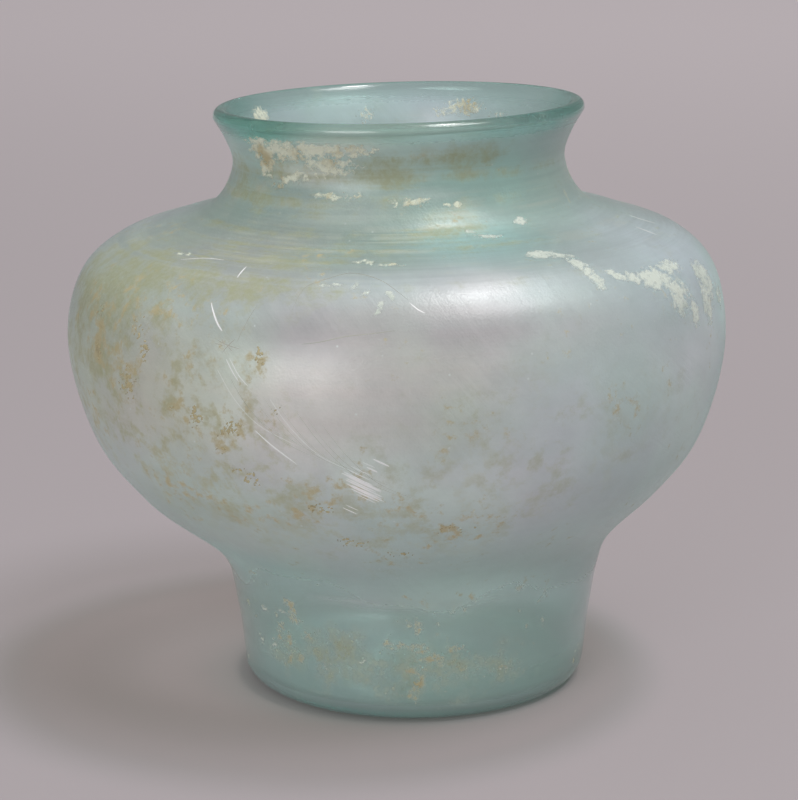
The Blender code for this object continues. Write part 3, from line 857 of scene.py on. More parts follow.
class Nodes:
    """Adds shader nodes to a new material and joins them."""

    def __init__(self, name):
        self.material = bpy.data.materials.new(name)
        self.material.use_nodes = True
        self.tree = self.material.node_tree
        self.tree.nodes.clear()

    def add(self, kind, inputs=None, **settings):
        """New node with values or links at its inputs."""
        node = self.tree.nodes.new(kind)
        for key, value in settings.items():
            setattr(node, key, value)
        for key, value in (inputs or {}).items():
            self.put(value, node.inputs[key])
        return node

    def put(self, value, socket):
        """Links an output to an input, or sets the input's value."""
        if isinstance(value, bpy.types.NodeSocket):
            self.tree.links.new(value, socket)
        else:
            socket.default_value = value

    def place(self):
        """Place on the piece, in metres."""
        return self.add("ShaderNodeTexCoord").outputs["Object"]

    def reading(self, name):
        """Number that is stored for each point."""
        return self.add("ShaderNodeAttribute", attribute_name=name).outputs["Fac"]

    def colour(self, name):
        """Colour that is stored for each point."""
        return self.add("ShaderNodeAttribute", attribute_name=name).outputs["Color"]

    def math(self, operation, first, second, clamp=False):
        """Result of a sum, difference or product."""
        node = self.add("ShaderNodeMath", {0: first, 1: second}, operation=operation, use_clamp=clamp)
        return node.outputs[0]

    def rest(self, share, weight):
        """What a weighted share leaves of 1."""
        return self.math("SUBTRACT", 1.0, self.math("MULTIPLY", share, weight))

    def total(self, start, *parts):
        """Sum of a start value and of readings times their weights."""
        value = start
        for part, weight in parts:
            value = self.math("ADD", self.math("MULTIPLY", part, weight), value)
        return value

    def stretched(self, vector, scale):
        """Place with each axis scaled."""
        return self.add("ShaderNodeMapping", {"Vector": vector, "Scale": scale}).outputs[0]

    def noise(self, vector, scale, detail, roughness):
        """Smooth noise from 0 to 1."""
        inputs = {"Vector": vector, "Scale": scale, "Detail": detail, "Roughness": roughness}
        return self.add("ShaderNodeTexNoise", inputs).outputs["Fac"]

    def step(self, value, low, high, start=0.0, end=1.0):
        """Smooth change from start to end while a reading goes from low to high."""
        inputs = {"Value": value, "From Min": low, "From Max": high, "To Min": start, "To Max": end}
        return self.add("ShaderNodeMapRange", inputs, interpolation_type="SMOOTHSTEP").outputs[0]

    def blend(self, share, first, second, kind="MIX"):
        """First colour with a share of the second."""
        node = self.add("ShaderNodeMix", {"Factor": share}, data_type="RGBA", blend_type=kind)
        self.put(first, node.inputs[6])
        self.put(second, node.inputs[7])
        return node.outputs[2]

    def lit_through(self, surface, dimmed):
        """Surface that lets light on to what lies behind it, dimmed by a colour."""
        path = self.add("ShaderNodeLightPath")
        through = self.add("ShaderNodeBsdfTransparent", {"Color": dimmed}).outputs[0]
        for ray in ("Is Shadow Ray", "Is Diffuse Ray"):
            mixed = self.add("ShaderNodeMixShader", {0: path.outputs[ray], 1: surface, 2: through})
            surface = mixed.outputs[0]
        return surface

    def output(self, surface, volume=None):
        """Ends the material with its surface and the colour inside it."""
        inputs = {"Surface": surface}
        if volume:
            inputs["Volume"] = volume
        self.add("ShaderNodeOutputMaterial", inputs)
        return self.material


def opaque(tint):
    """Colour with full cover."""
    return (*tint, 1.0)


def tooling(nodes, place, fineness):
    """Noise that runs in rings round the wall."""
    axes = nodes.add("ShaderNodeSeparateXYZ", {0: place})
    unrolled = {0: axes.outputs[0], 1: axes.outputs[1], 2: nodes.reading("wall_length")}
    rings = nodes.add("ShaderNodeCombineXYZ", unrolled).outputs[0]
    return nodes.noise(nodes.stretched(rings, RING_STRETCH), fineness, *RING_DETAIL)


def wiping(nodes, place):
    """Noise in fine strokes that slant down to the right across the front, with 0.5 where none are."""
    slanted = nodes.add("ShaderNodeMapping", {"Vector": place, "Rotation": (0.0, WIPE_SLANT, 0.0)})
    strokes = nodes.noise(nodes.stretched(slanted.outputs[0], WIPE_STRETCH), *WIPE_NOISE)
    wiped = nodes.step(nodes.noise(place, *WIPE_PATCHES), *WIPED_STEP)
    return nodes.math("ADD", nodes.math("MULTIPLY", nodes.math("SUBTRACT", strokes, 0.5), wiped), 0.5)


def soil_cover(nodes, place, rings, grain):
    """Share of soil stain, blotted on the belly and drawn out along the rings of roof and neck."""
    blots = nodes.step(nodes.noise(place, *SOIL_NOISE), *SOIL_BLOT_STEP)
    ringed = nodes.math("MULTIPLY", nodes.step(rings, *SOIL_RING_STEP), nodes.reading("streaks"))
    level = nodes.math("ADD", nodes.reading("soil"), blots)
    cover = nodes.step(nodes.math("ADD", level, ringed), *SOIL_STEP)
    return nodes.math("MULTIPLY", cover, nodes.step(grain, *SOIL_GRAIN_STEP), clamp=True)


def speck_level(nodes, place):
    """How strongly each place draws ochre specks."""
    groups = nodes.step(nodes.noise(place, *SPECK_GROUPS), *SPECK_GROUP_STEP)
    level = nodes.math("ADD", nodes.noise(place, *SPECK_NOISE), groups)
    return nodes.total(level, (nodes.reading("specks"), SPECK_PULL), (nodes.reading("stain"), STAIN_PULL))


def pale_wisps(nodes, place):
    """Share of pale wisps that lie along the tooling rings of roof and neck."""
    lines = nodes.step(tooling(nodes, place, WISP_FINENESS), *WISP_LINE_STEP)
    where = nodes.step(nodes.noise(place, *WISP_NOISE), *WISP_PLACE_STEP)
    wisps = nodes.math("MULTIPLY", lines, where)
    return nodes.math("MULTIPLY", wisps, nodes.reading("streaks"), clamp=True)


def seed_bubbles(nodes, place):
    """Share of small white bubbles that lie just under the surface."""
    cells = nodes.add("ShaderNodeTexVoronoi", {"Vector": place, "Scale": SEED_SCALE})
    return nodes.step(cells.outputs["Distance"], *SEED_STEP)


def mottling(nodes, place):
    """Share of brown mottles in the film, where specks gather."""
    fine = nodes.noise(place, *MOTTLE_NOISE)
    broad = nodes.noise(place, *MOTTLE_GROUPS)
    blots = nodes.total(0.0, (fine, FINE_MOTTLE), (broad, BROAD_MOTTLE))
    return nodes.math("MULTIPLY", nodes.step(blots, *MOTTLE_STEP), nodes.reading("specks"), clamp=True)


def pearly_tint(nodes, place, wipes):
    """Colour of the film: its tint per place, painted highlights and shade included, changed by pearly
    hues, mottles, clouds, strokes and rings.
    """
    tints = colours()
    hues = nodes.step(nodes.noise(place, *PEARL_NOISE), *PEARL_STEP)
    pearl = nodes.blend(hues, opaque(tints.pearl_rose), opaque(tints.pearl_green))
    tint = nodes.blend(1.0, nodes.colour("film_and_light_tint"), pearl, "MULTIPLY")
    tint = nodes.blend(mottling(nodes, place), tint, opaque(tints.mottle))
    clouds = nodes.step(nodes.noise(place, *CLOUD_NOISE), *CLOUD_STEP)
    shade = nodes.math("MULTIPLY", clouds, nodes.step(wipes, *STROKE_STEP))
    rings = nodes.step(tooling(nodes, place, RING_TINT_FINENESS), *RING_TINT_STEP)
    rings = nodes.total(1.0, (rings, nodes.reading("streaks")))
    return nodes.blend(1.0, tint, nodes.math("MULTIPLY", shade, rings), "MULTIPLY")


def glass_relief(nodes, place, rings, grain, wipes, hazy):
    """Fine relief of the surface: tooling rings, grain, pits and wiped strokes in the hazy film."""
    pitting = nodes.math("MULTIPLY", nodes.noise(place, *PITTING_NOISE), hazy)
    relief = nodes.total(0.0, (rings, RING_RELIEF), (grain, GRAIN_RELIEF), (pitting, PITTING_RELIEF))
    relief = nodes.total(relief, (nodes.math("MULTIPLY", wipes, hazy), WIPE_RELIEF))
    bump = {"Height": relief, "Strength": GLASS_RELIEF, "Distance": GLASS_RELIEF_DEPTH}
    return nodes.add("ShaderNodeBump", bump).outputs[0]


def weathered_glass():
    """Pale aqua glass under a pearly film, with tooling rings, soil stain, ochre specks and painted
    highlights and shade in the film's colour.
    """
    tints = colours()
    nodes = Nodes("weathered_glass")
    place = nodes.place()
    rings = tooling(nodes, place, RING_FINENESS)
    wipes = wiping(nodes, place)
    grain = nodes.noise(place, *GRAIN_NOISE)
    soil = soil_cover(nodes, place, rings, grain)
    level = speck_level(nodes, place)
    specks = nodes.step(level, *SPECK_STEP)
    hazy = nodes.reading("hazy")
    film = nodes.math("MULTIPLY", nodes.reading("film"), nodes.step(rings, *FILM_RING_STEP), clamp=True)

    tint = nodes.blend(nodes.reading("deep"), opaque(tints.glass), opaque(tints.deep))
    tint = nodes.blend(film, tint, pearly_tint(nodes, place, wipes))
    seeds = nodes.math("MULTIPLY", seed_bubbles(nodes, place), hazy)
    tint = nodes.blend(seeds, tint, opaque(tints.seeds))
    tint = nodes.blend(soil, tint, opaque(tints.soil))
    tint = nodes.blend(pale_wisps(nodes, place), tint, opaque(tints.wisps))
    ochre = nodes.blend(nodes.step(level, *DARK_SPECK_STEP), opaque(tints.earth), opaque(tints.earth_dark))
    tint = nodes.blend(specks, tint, ochre)

    clear = nodes.rest(film, FILM_DULLS)
    clear = nodes.math("MULTIPLY", clear, nodes.rest(soil, SOIL_DULLS))
    clear = nodes.math("MULTIPLY", clear, nodes.rest(specks, SPECKS_DULL))
    rough = nodes.total(GLASS_ROUGHNESS, (hazy, HAZE_ROUGHNESS), (film, FILM_ROUGHNESS))
    rough = nodes.total(rough, (soil, SOIL_ROUGHNESS), (specks, SPECK_ROUGHNESS))
    rough = nodes.total(rough, (hazy, nodes.step(wipes, *STROKE_ROUGH_STEP)))
    relief = glass_relief(nodes, place, rings, grain, wipes, hazy)
    glass = nodes.add(
        "ShaderNodeBsdfPrincipled",
        {
            "Base Color": tint,
            "Roughness": rough,
            "IOR": GLASS_IOR,
            "Transmission Weight": clear,
            "Coat Weight": GLASS_COAT,
            "Coat Roughness": COAT_ROUGHNESS,
            "Normal": relief,
            "Coat Normal": relief,
        },
    )
    dimmed = nodes.blend(nodes.reading("shade"), opaque(tints.wall_light), opaque(tints.heel_light))
    surface = nodes.lit_through(glass.outputs[0], dimmed)
    depth = {"Color": opaque(tints.depth), "Density": GLASS_DENSITY}
    return nodes.output(surface, nodes.add("ShaderNodeVolumeAbsorption", depth).outputs[0])


def crusted(name, pale, dark, feather=0.0):
    """Matt crust with darker grains, worn as thin as a stain over the feathered width of its rims."""
    nodes = Nodes(name)
    place = nodes.place()
    broad = nodes.noise(place, *CRUST_PATCHES)
    grain = nodes.noise(place, *CRUST_GRAIN)
    tint = nodes.blend(nodes.step(broad, *CRUST_PATCH_STEP), opaque(pale), opaque(dark))
    tint = nodes.blend(nodes.step(grain, *CRUST_GRAIN_STEP), tint, opaque(dark))
    relief = nodes.total(grain, (broad, PATCH_RELIEF))
    bump = {"Height": relief, "Strength": CRUST_RELIEF, "Distance": CRUST_RELIEF_DEPTH}
    looks = {
        "Base Color": tint,
        "Roughness": nodes.step(grain, *CRUST_ROUGH_STEP),
        "Normal": nodes.add("ShaderNodeBump", bump).outputs[0],
    }
    if feather:
        worn = nodes.total(nodes.reading("depth"), (nodes.noise(place, *CRUST_WEAR), WEAR_SHARE * feather))
        looks["Alpha"] = nodes.step(worn, WEAR_START * feather, WEAR_END * feather, 0.0, CRUST_ALPHA)
    matt = nodes.add("ShaderNodeBsdfPrincipled", looks)
    return nodes.output(nodes.lit_through(matt.outputs[0], opaque(colours().crust_light)))


def stretch(points, length, follow):
    """Rows of one stretch of the section: its points, their wall length and share of unevenness."""
    count = len(points)
    return np.column_stack((points, np.broadcast_to(length, count), np.full(count, follow)))


def glass_profile(wall):
    """Rows of radius, height, wall length and share of unevenness round the whole section."""
    jar = shape()
    count = int(wall.length / WALL_STEP)
    lengths = np.linspace(0.0, wall.length, count + 1)
    inner = lengths[lengths > jar.corner_wall]
    outer = lengths[::-1]
    point, inward, glass = wall.at(inner)
    lip_angle = np.linspace(LIP_TURN + math.pi, LIP_TURN, LIP_STEPS + 1)[1:-1]
    heel_angle = -np.linspace(0.0, math.pi / 2.0, ARC_STEPS)[1:]
    middle = np.array((jar.heel_radius - jar.heel_curve, jar.heel_curve))
    heel = middle + jar.heel_curve * np.column_stack((np.cos(heel_angle), np.sin(heel_angle)))
    rest = np.linspace(middle[0], kick_radius(), REST_STEPS + 1)[1:]
    under = np.concatenate((rest, np.linspace(kick_radius(), 0.0, FLOOR_STEPS)[1:]))
    rows = (
        stretch(floor_run(wall).points[:, :2], 0.0, 0.0),
        stretch(point + inward * glass[:, None], inner, -INSIDE_FOLLOW),
        stretch(lip_arc(lip_angle), wall.length, 0.0),
        stretch(wall.at(outer)[0], outer, 1.0),
        stretch(heel, 0.0, 0.0),
        stretch(np.column_stack((under, kick(under))), 0.0, 0.0),
    )
    return np.vstack(rows)


def nearest_row(points, profile):
    """Row of the section that each turned point comes from."""
    across = np.hypot(points[:, 0], points[:, 1])[:, None] - profile[None, :, 0]
    along = points[:, 2][:, None] - profile[None, :, 1]
    return np.argmin(across**2 + along**2, axis=1)


def swollen(points, profile, row):
    """Turned points moved by the unevenness of the blown wall."""
    slope = np.gradient(profile[:, :2], axis=0)
    slope /= np.linalg.norm(slope, axis=1)[:, None]
    left = np.column_stack((-slope[row, 1], slope[row, 0]))
    lift = unevenness(points[:, 0], points[:, 1], profile[row, 2]) * profile[row, 3]
    turn = np.arctan2(points[:, 1], points[:, 0])
    radius = np.hypot(points[:, 0], points[:, 1]) + left[:, 0] * lift
    return np.column_stack((radius * np.cos(turn), radius * np.sin(turn), points[:, 2] + left[:, 1] * lift))


def patches(turn, height, spots):
    """What the soft spots that reach each place cover together."""
    bare = np.ones(len(turn))
    for *spot, strength in spots:
        bare *= 1.0 - strength * nearness(turn, height, *spot)
    return 1.0 - bare


def nearness(turn, height, middle, level, wide, high):
    """Share from 1 inside a soft spot to 0 at its rim."""
    across = ((np.degrees(turn) - middle + 180.0) % 360.0 - 180.0) / wide
    along = (height / MM - level) / high
    return ramp(1.0 - np.hypot(across, along), 0.0, SPOT_SOFTNESS)


def film_and_light_tint(turn, height):
    """Colour of the film at each place, with painted highlights, reflections and shade."""
    tint = np.tile(np.array(opaque(colours().film)), (len(turn), 1))
    for *spot, colour_there in TINT_SPOTS:
        share = nearness(turn, height, *spot)[:, None]
        tint += share * (np.array(opaque(colour_there)) - tint)
    return tint


def ragged(turn, height):
    """Heights with a slow wander, so that the film's lower edge doesn't run level."""
    across = HAZE_TURN_NOISE * np.cos(turn), HAZE_TURN_NOISE * np.sin(turn)
    places = np.column_stack((*across, HAZE_RISE_NOISE * height))
    return height + HAZE_WANDER * np.array([noise.noise(Vector(place)) for place in places])


def film_share(turn, height, outside, hazy):
    """How thickly the film lies at each place."""
    spots = patches(turn, height, FILM_SPOTS)
    floor = 1.0 - ramp(height, *FLOOR_FILM_ENDS)
    outer = 1.0 - (CLEAR_GLASS - HAZE_TAKES * hazy) * (1.0 - FILM_SPOT_SHARE * spots)
    inner = INNER_FILM + INNER_SPOT_SHARE * spots + FLOOR_FILM * floor
    return np.where(outside, outer, inner)


def weathering(turn, height, outside):
    """Shares of each kind of weathering at each place of the glass."""
    waist, _belly, shoulder, root, throat, top = heights()
    bare = ramp(height, top - LIP_BARE_START, top - LIP_BARE_END)
    # Painted shade on the left of the lip, and a dimmer darkening on the right
    dark_lip = nearness(turn, height, *LIP_SHADE_SPOT)
    dark_lip = np.maximum(dark_lip, DIM_LIP * nearness(turn, height, *DIM_LIP_SPOT))
    hazy = ramp(ragged(turn, height), waist - HAZE_REACH, waist + HAZE_REACH) * (1.0 - bare)
    film = film_share(turn, height, outside, hazy)
    streaks = ramp(height, shoulder - STREAK_BELOW, shoulder + STREAK_ABOVE)
    streaks *= 1.0 - STREAK_LIP_LOSS * ramp(height, throat, top - STREAK_LIP_END)
    neck_deep = NECK_DEEP * ramp(height, shoulder + NECK_DEEP_START, root)
    return {
        "film": film * (1.0 - bare * (LIP_FILM_LOSS + DARK_LIP_FILM_LOSS * dark_lip)),
        "hazy": hazy,
        "streaks": (STREAK_LEAST + (1.0 - STREAK_LEAST) * streaks) * (1.0 - bare),
        "soil": patches(turn, height, SOIL_SPOTS) * (1.0 - bare),
        "specks": np.where(outside, patches(turn, height, SPECK_SPOTS), -1.0),
        "stain": np.where(outside, patches(turn, height, stained_spots()), 0.0),
        "deep": neck_deep + bare * (LIP_DEEP + DARK_LIP_DEEP * dark_lip),
        "shade": 1.0 - ramp(height, *SHADE_ENDS),
    }


def stained_spots():
    """Soft spots of stain round the flakes of the flank, about twice as wide as each flake."""
    degrees = math.degrees(MM / shape().belly_radius)
    spots = []
    for turn, height, wide, high, _tilt, cover in FLANK_SPOTS:
        strength = min(1.0, STAIN_LEAST + cover)
        spots.append((turn, height, STAIN_REACH * wide * degrees, STAIN_REACH * high, strength))
    return spots


def weather(mesh, upright, length, outside):
    """Stores the wall length, the weathering and the film's colour with its painted light for each point of
    the glass.
    """
    turn = np.arctan2(upright[:, 1], upright[:, 0])
    mark(mesh, "wall_length", length)
    for name, share in weathering(turn, upright[:, 2], outside).items():
        mark(mesh, name, share)
    mark(mesh, "film_and_light_tint", film_and_light_tint(turn, upright[:, 2]))


class JAR_OT_blow_glass(bpy.types.Operator):
    """Blow the whole glass, from the floor round the wall and lip to the kick, as one closed wall"""

    bl_idname = "jar.blow_glass"
    bl_label = "Blow glass"

    def execute(self, context):
        profile = glass_profile(wall_run())
        glass = turned("jar_glass", profile[:, :2], GLASS_TURNS)
        upright = read_points(glass.data)
        row = nearest_row(upright, profile)
        write_points(glass.data, lean(swollen(upright, profile, row)))
        weather(glass.data, upright, profile[row, 2], profile[row, 3] > 0.0)
        finish_piece(glass, weathered_glass(), "milky_glass", *GLASS_NODES)
        return {"FINISHED"}


class JAR_OT_leave_pontil(bpy.types.Operator):
    """Leave the ring of glass that the pontil rod tore off inside the kick"""

    bl_idname = "jar.leave_pontil"
    bl_label = "Leave pontil scar"

    def execute(self, context):
        jar = shape()
        angle = -np.linspace(0.0, math.tau, PONTIL_SIDES, endpoint=False)
        radius = jar.pontil_radius + jar.pontil_width / 2.0 * np.cos(angle)
        depth = PONTIL_GAP + jar.pontil_glass * (1.0 - np.sin(angle)) / 2.0
        ring = np.column_stack((radius, kick(radius) - depth))
        scar = turned("pontil_scar_glass", ring, PONTIL_TURNS, closed=True)
        points = read_points(scar.data)
        for point in points:
            torn = noise.noise(Vector(point) * TEAR_NOISE)
            point[2] -= PONTIL_TEAR * max(torn, 0.0)
        write_points(scar.data, lean(points))
        weather(scar.data, points, np.zeros(len(points)), np.zeros(len(points), bool))
        finish_piece(scar, bpy.data.materials["weathered_glass"], "aqua_glass", "pontil_scar")
        return {"FINISHED"}


class Sheet:
    """Grid of places round the axis and along a run that holds a list of crust spots."""

    def __init__(self, run, spots, column=BY_HEIGHT, fineness=FLAKE_NOISE):
        self.run = run
        self.fineness = fineness
        self.spots = [seated(run, spot, column) for spot in spots]
        reach = [(spot, SPOT_REACH * max(spot.wide, spot.high)) for spot in self.spots]
        self.low_turn = min(spot.turn - far / spot.radius for spot, far in reach)
        self.high_turn = max(spot.turn + far / spot.radius for spot, far in reach)
        self.low = max(0.0, min(spot.length - far for spot, far in reach))
        self.high = min(run.length, max(spot.length + far for spot, far in reach))
        self.radius = float(np.mean([spot.radius for spot in self.spots]))

    def cells(self):
        """Numbers of cells round the axis and along the run."""
        wide = (self.high_turn - self.low_turn) * self.radius
        return max(2, int(wide / FLAKE_CELL)), max(2, int((self.high - self.low) / FLAKE_CELL))

    def places(self, grid):
        """Turn and length of grid points that span -1 to 1."""
        turn = self.low_turn + (self.high_turn - self.low_turn) * (grid[:, 0] + 1.0) / 2.0
        return turn, self.low + (self.high - self.low) * (grid[:, 1] + 1.0) / 2.0

    def cover(self, turn, length, roughness):
        """How far inside a flake each place lies, below 0 where it is bare."""
        depth = np.full(len(turn), BARE_DEPTH)
        for spot in self.spots:
            across, along = (turn - spot.turn) * spot.radius, length - spot.length
            u = (across * math.cos(spot.tilt) + along * math.sin(spot.tilt)) / spot.wide
            v = (along * math.cos(spot.tilt) - across * math.sin(spot.tilt)) / spot.high
            depth = np.maximum(depth, spot.cover - SPOT_FALL * (u * u + v * v))
        radius = self.run.at(length)[0][:, 0]
        places = np.column_stack((radius * np.cos(turn), radius * np.sin(turn), length)) * self.fineness
        grain = [noise.fractal(Vector(place), *FLAKE_FRACTAL) for place in places]
        return depth + roughness * np.array(grain)


def seated(run, spot, column):
    """Crust spot placed on a run by its height or its radius, in metres and radians."""
    turn, level, wide, high, tilt, cover = spot
    order = np.argsort(run.points[:, column])
    length = float(np.interp(level * MM, run.points[order, column], run.reach[order]))
    radius = float(np.interp(length, run.reach, run.points[:, 0]))
    return Spot(math.radians(turn), length, radius, wide * MM, high * MM, math.radians(tilt), cover)


def squares(mesh):
    """Corner points of each face of a mesh of squares."""
    corners = np.empty(len(mesh.polygons) * 4, int)
    mesh.polygons.foreach_get("vertices", corners)
    return corners.reshape(-1, 4)


def open_edges(faces):
    """Edges that belong to one face only."""
    edges = np.sort(np.vstack([faces[:, [k, (k + 1) % 4]] for k in range(4)]), axis=1)
    single, count = np.unique(edges, axis=0, return_counts=True)
    return single[count == 1]


def keep_covered(mesh, depth):
    """Deletes the bare faces of the active grid, then faces that meet others only at a corner."""
    bpy.ops.object.mode_set(mode="EDIT")
    bpy.ops.mesh.select_mode(type="FACE")
    bpy.ops.object.mode_set(mode="OBJECT")
    bare = depth[squares(mesh)].mean(axis=1) < 0.0
    while bare.any():
        mesh.polygons.foreach_set("select", bare)
        bpy.ops.object.mode_set(mode="EDIT")
        bpy.ops.mesh.delete(type="FACE")
        bpy.ops.object.mode_set(mode="OBJECT")
        bare = pinched(mesh)


def pinched(mesh):
    """Marks the faces round each point where faces meet only at the corner."""
    faces = squares(mesh)
    rim = np.bincount(open_edges(faces).ravel(), minlength=len(mesh.vertices))
    return (rim > 2)[faces].any(axis=1)


def flaked(name, sheet, roughness, side=OUTSIDE, follow=1.0):
    """Crust of thin ragged flakes on one side of a run that follows a share of the unevenness."""
    deselect()
    wide, high = sheet.cells()
    bpy.ops.mesh.primitive_grid_add(x_subdivisions=wide, y_subdivisions=high, size=2.0)
    piece = bpy.context.object
    piece.name = piece.data.name = name
    mesh = piece.data
    keep_covered(mesh, sheet.cover(*sheet.places(read_points(mesh)), roughness))
    turn, length, depth = snapped(mesh, sheet, roughness)
    write_points(mesh, on_run(sheet.run, turn, length, side * FLAKE_LIFT, follow))
    mark(mesh, "depth", depth)
    group = piece.vertex_groups.new(name="depth")
    for index, share in enumerate(np.clip(depth / FULL_DEPTH, THIN_SHARE, 1.0)):
        group.add([index], float(share), "REPLACE")
    solid = piece.modifiers.new("Thickness", "SOLIDIFY")
    solid.thickness = FLAKE_THICKNESS
    solid.offset = float(side)
    solid.vertex_group = "depth"
    solid.use_even_offset = False
    bpy.ops.object.modifier_apply(modifier=solid.name)
    piece.vertex_groups.clear()
    bpy.ops.object.shade_smooth_by_angle(angle=FLAKE_CREASE)
    return piece


def joined(name, pieces):
    """One object of several pieces."""
    deselect()
    for piece in pieces:
        piece.select_set(True)
    bpy.context.view_layer.objects.active = pieces[-1]
    bpy.ops.object.join()
    whole = bpy.context.object
    whole.name = whole.data.name = name
    return whole


def snapped(mesh, sheet, roughness):
    """Places and depths of a grid, with those at a flake's rim moved on to the line where it ends."""
    turn, length = sheet.places(read_points(mesh))
    rim = np.unique(open_edges(squares(mesh)))
    depth = sheet.cover(turn, length, roughness)
    aside = sheet.cover(turn[rim] + RIM_PROBE / sheet.radius, length[rim], roughness)
    above = sheet.cover(turn[rim], length[rim] + RIM_PROBE, roughness)
    d_turn, d_length = (aside - depth[rim]) / RIM_PROBE, (above - depth[rim]) / RIM_PROBE
    steep = np.sqrt(np.maximum(d_turn**2 + d_length**2, FLAT_SLOPE))
    reach = np.clip(-depth[rim] / steep, -RIM_REACH, RIM_REACH) / steep
    turn[rim] += reach * d_turn / sheet.radius
    length[rim] += reach * d_length
    depth[rim] = 0.0
    return turn, length, depth


class JAR_OT_lay_crusts(bpy.types.Operator):
    """Lay the flakes of soil and lime on the wall, and the crust in the corner of the floor"""

    bl_idname = "jar.lay_crusts"
    bl_label = "Lay crusts"

    def execute(self, context):
        tints = colours()
        wall = wall_run()
        earth = crusted("earth_flakes", tints.earth, tints.earth_dark, EARTH_FEATHER)
        beige = crusted("beige_flakes", tints.beige, tints.earth, BEIGE_FEATHER)
        lime = crusted("lime_flakes", tints.lime, tints.lime_dark, LIME_FEATHER)
        neck = flaked("neck_earth_flakes", Sheet(wall, NECK_SPOTS, fineness=BROAD_NOISE), NECK_RAGGED)
        lining = Sheet(inner_run(wall), INNER_NECK_SPOTS)
        inner = flaked("inner_neck_flakes", lining, INNER_RAGGED, INSIDE, INSIDE_FOLLOW)
        neck = joined("neck_earth_flakes", [inner, neck])
        finish_piece(neck, beige, "earth_crust", "neck_earth_crust")
        shoulder = Sheet(wall, LIME_SPOTS, fineness=BROAD_NOISE)
        shoulder = flaked("shoulder_lime_flakes", shoulder, LIME_RAGGED)
        finish_piece(shoulder, lime, "lime_crust", "shoulder_lime_crust")
        flank = flaked("flank_earth_flakes", Sheet(wall, FLANK_SPOTS), FLANK_RAGGED)
        finish_piece(flank, earth, "earth_crust", "flank_earth_crust")
        foot = flaked("foot_lime_flakes", Sheet(wall, FOOT_SPOTS), FLOOR_RAGGED)
        floor = Sheet(floor_run(wall), FLOOR_SPOTS, BY_RADIUS)
        floor = flaked("floor_lime_flakes", floor, FLOOR_RAGGED, INSIDE, 0.0)
        floor = joined("floor_lime_flakes", [foot, floor])
        finish_piece(floor, lime, "lime_crust", "floor_lime_crust")
        return {"FINISHED"}


def wandering(index, step, row):
    """Noise from -1 to 1 that sets one line of a row apart from the next."""
    return noise.noise(Vector((index * step, row, 0.0)))


def glint_lines():
    """Short parallel scratch strips painted white as a highlight, low on the front of the belly."""
    starts = list(GLINT_STARTS)
    for index in range(GLINT_ROWS):
        wander = wandering(index, *GLINT_ROW_NOISE)
        turn = GLINT_ROW_START[0] + GLINT_ROW_STEP[0] * index + GLINT_WANDER * wander
        height = GLINT_ROW_START[1] + GLINT_ROW_STEP[1] * index
        starts.append((turn, height, GLINT_ROW_REACH + wander, GLINT_ROW_HALF))
    lines = []
    for turn, height, reach, half in starts:
        lines.append((half, ((turn, height), (turn + reach, height + GLINT_FALL * reach))))
    return tuple(lines)


def wipe_lines():
    """Faint arcs that sweep down to the right from the star crack."""
    lines = []
    for index in range(WIPE_LINES):
        wander = wandering(index, *WIPE_ROW_NOISE)
        turn = WIPE_START[0] + WIPE_STEP[0] * index + WIPE_WANDER * wander
        height = WIPE_START[1] + WIPE_STEP[1] * index
        reach = 1.0 + WIPE_STRETCHING * wander
        arc = tuple((turn + across * reach, height + down * reach) for across, down in WIPE_SWEEP)
        lines.append((WIPE_HALF + WIPE_HALF_WANDER * wander, arc))
    return tuple(lines)


def scratch_strip(run, half, knots):
    """Thin tapered strip along a line of places on a run."""
    knots = np.array(knots)
    lengths = np.interp(knots[:, 1] * MM, run.points[:, 1], run.reach)
    radius = run.at(lengths)[0][:, 0].mean()
    track = smooth_through(list(np.column_stack((np.radians(knots[:, 0]) * radius, lengths))))
    ahead = np.gradient(track, axis=0)
    ahead /= np.linalg.norm(ahead, axis=1)[:, None]
    deselect()
    bpy.ops.mesh.primitive_grid_add(x_subdivisions=SCRATCH_STEPS, y_subdivisions=2, size=2.0)
    strip = bpy.context.object
    grid = read_points(strip.data)
    along = (grid[:, 0] + 1.0) / 2.0 * (len(track) - 1)
    index = np.arange(len(track))
    middle = np.column_stack([np.interp(along, index, column) for column in track.T])
    side = np.column_stack([np.interp(along, index, column) for column in (-ahead[:, 1], ahead[:, 0])])
    taper = np.sqrt(np.maximum(1.0 - grid[:, 0] ** 2, SCRATCH_TIP))
    place = middle + side * (grid[:, 1] * half * MM * taper)[:, None]
    write_points(strip.data, on_run(run, place[:, 0] / radius, place[:, 1], FLAKE_LIFT, 1.0))
    solid = strip.modifiers.new("Thickness", "SOLIDIFY")
    solid.thickness = SCRATCH_THICKNESS
    solid.offset = 1.0
    bpy.ops.object.modifier_apply(modifier=solid.name)
    return strip


def scratched(name, run, lines):
    """Scratches along lines of places on a run, joined into one piece."""
    return joined(name, [scratch_strip(run, half, knots) for half, knots in lines])


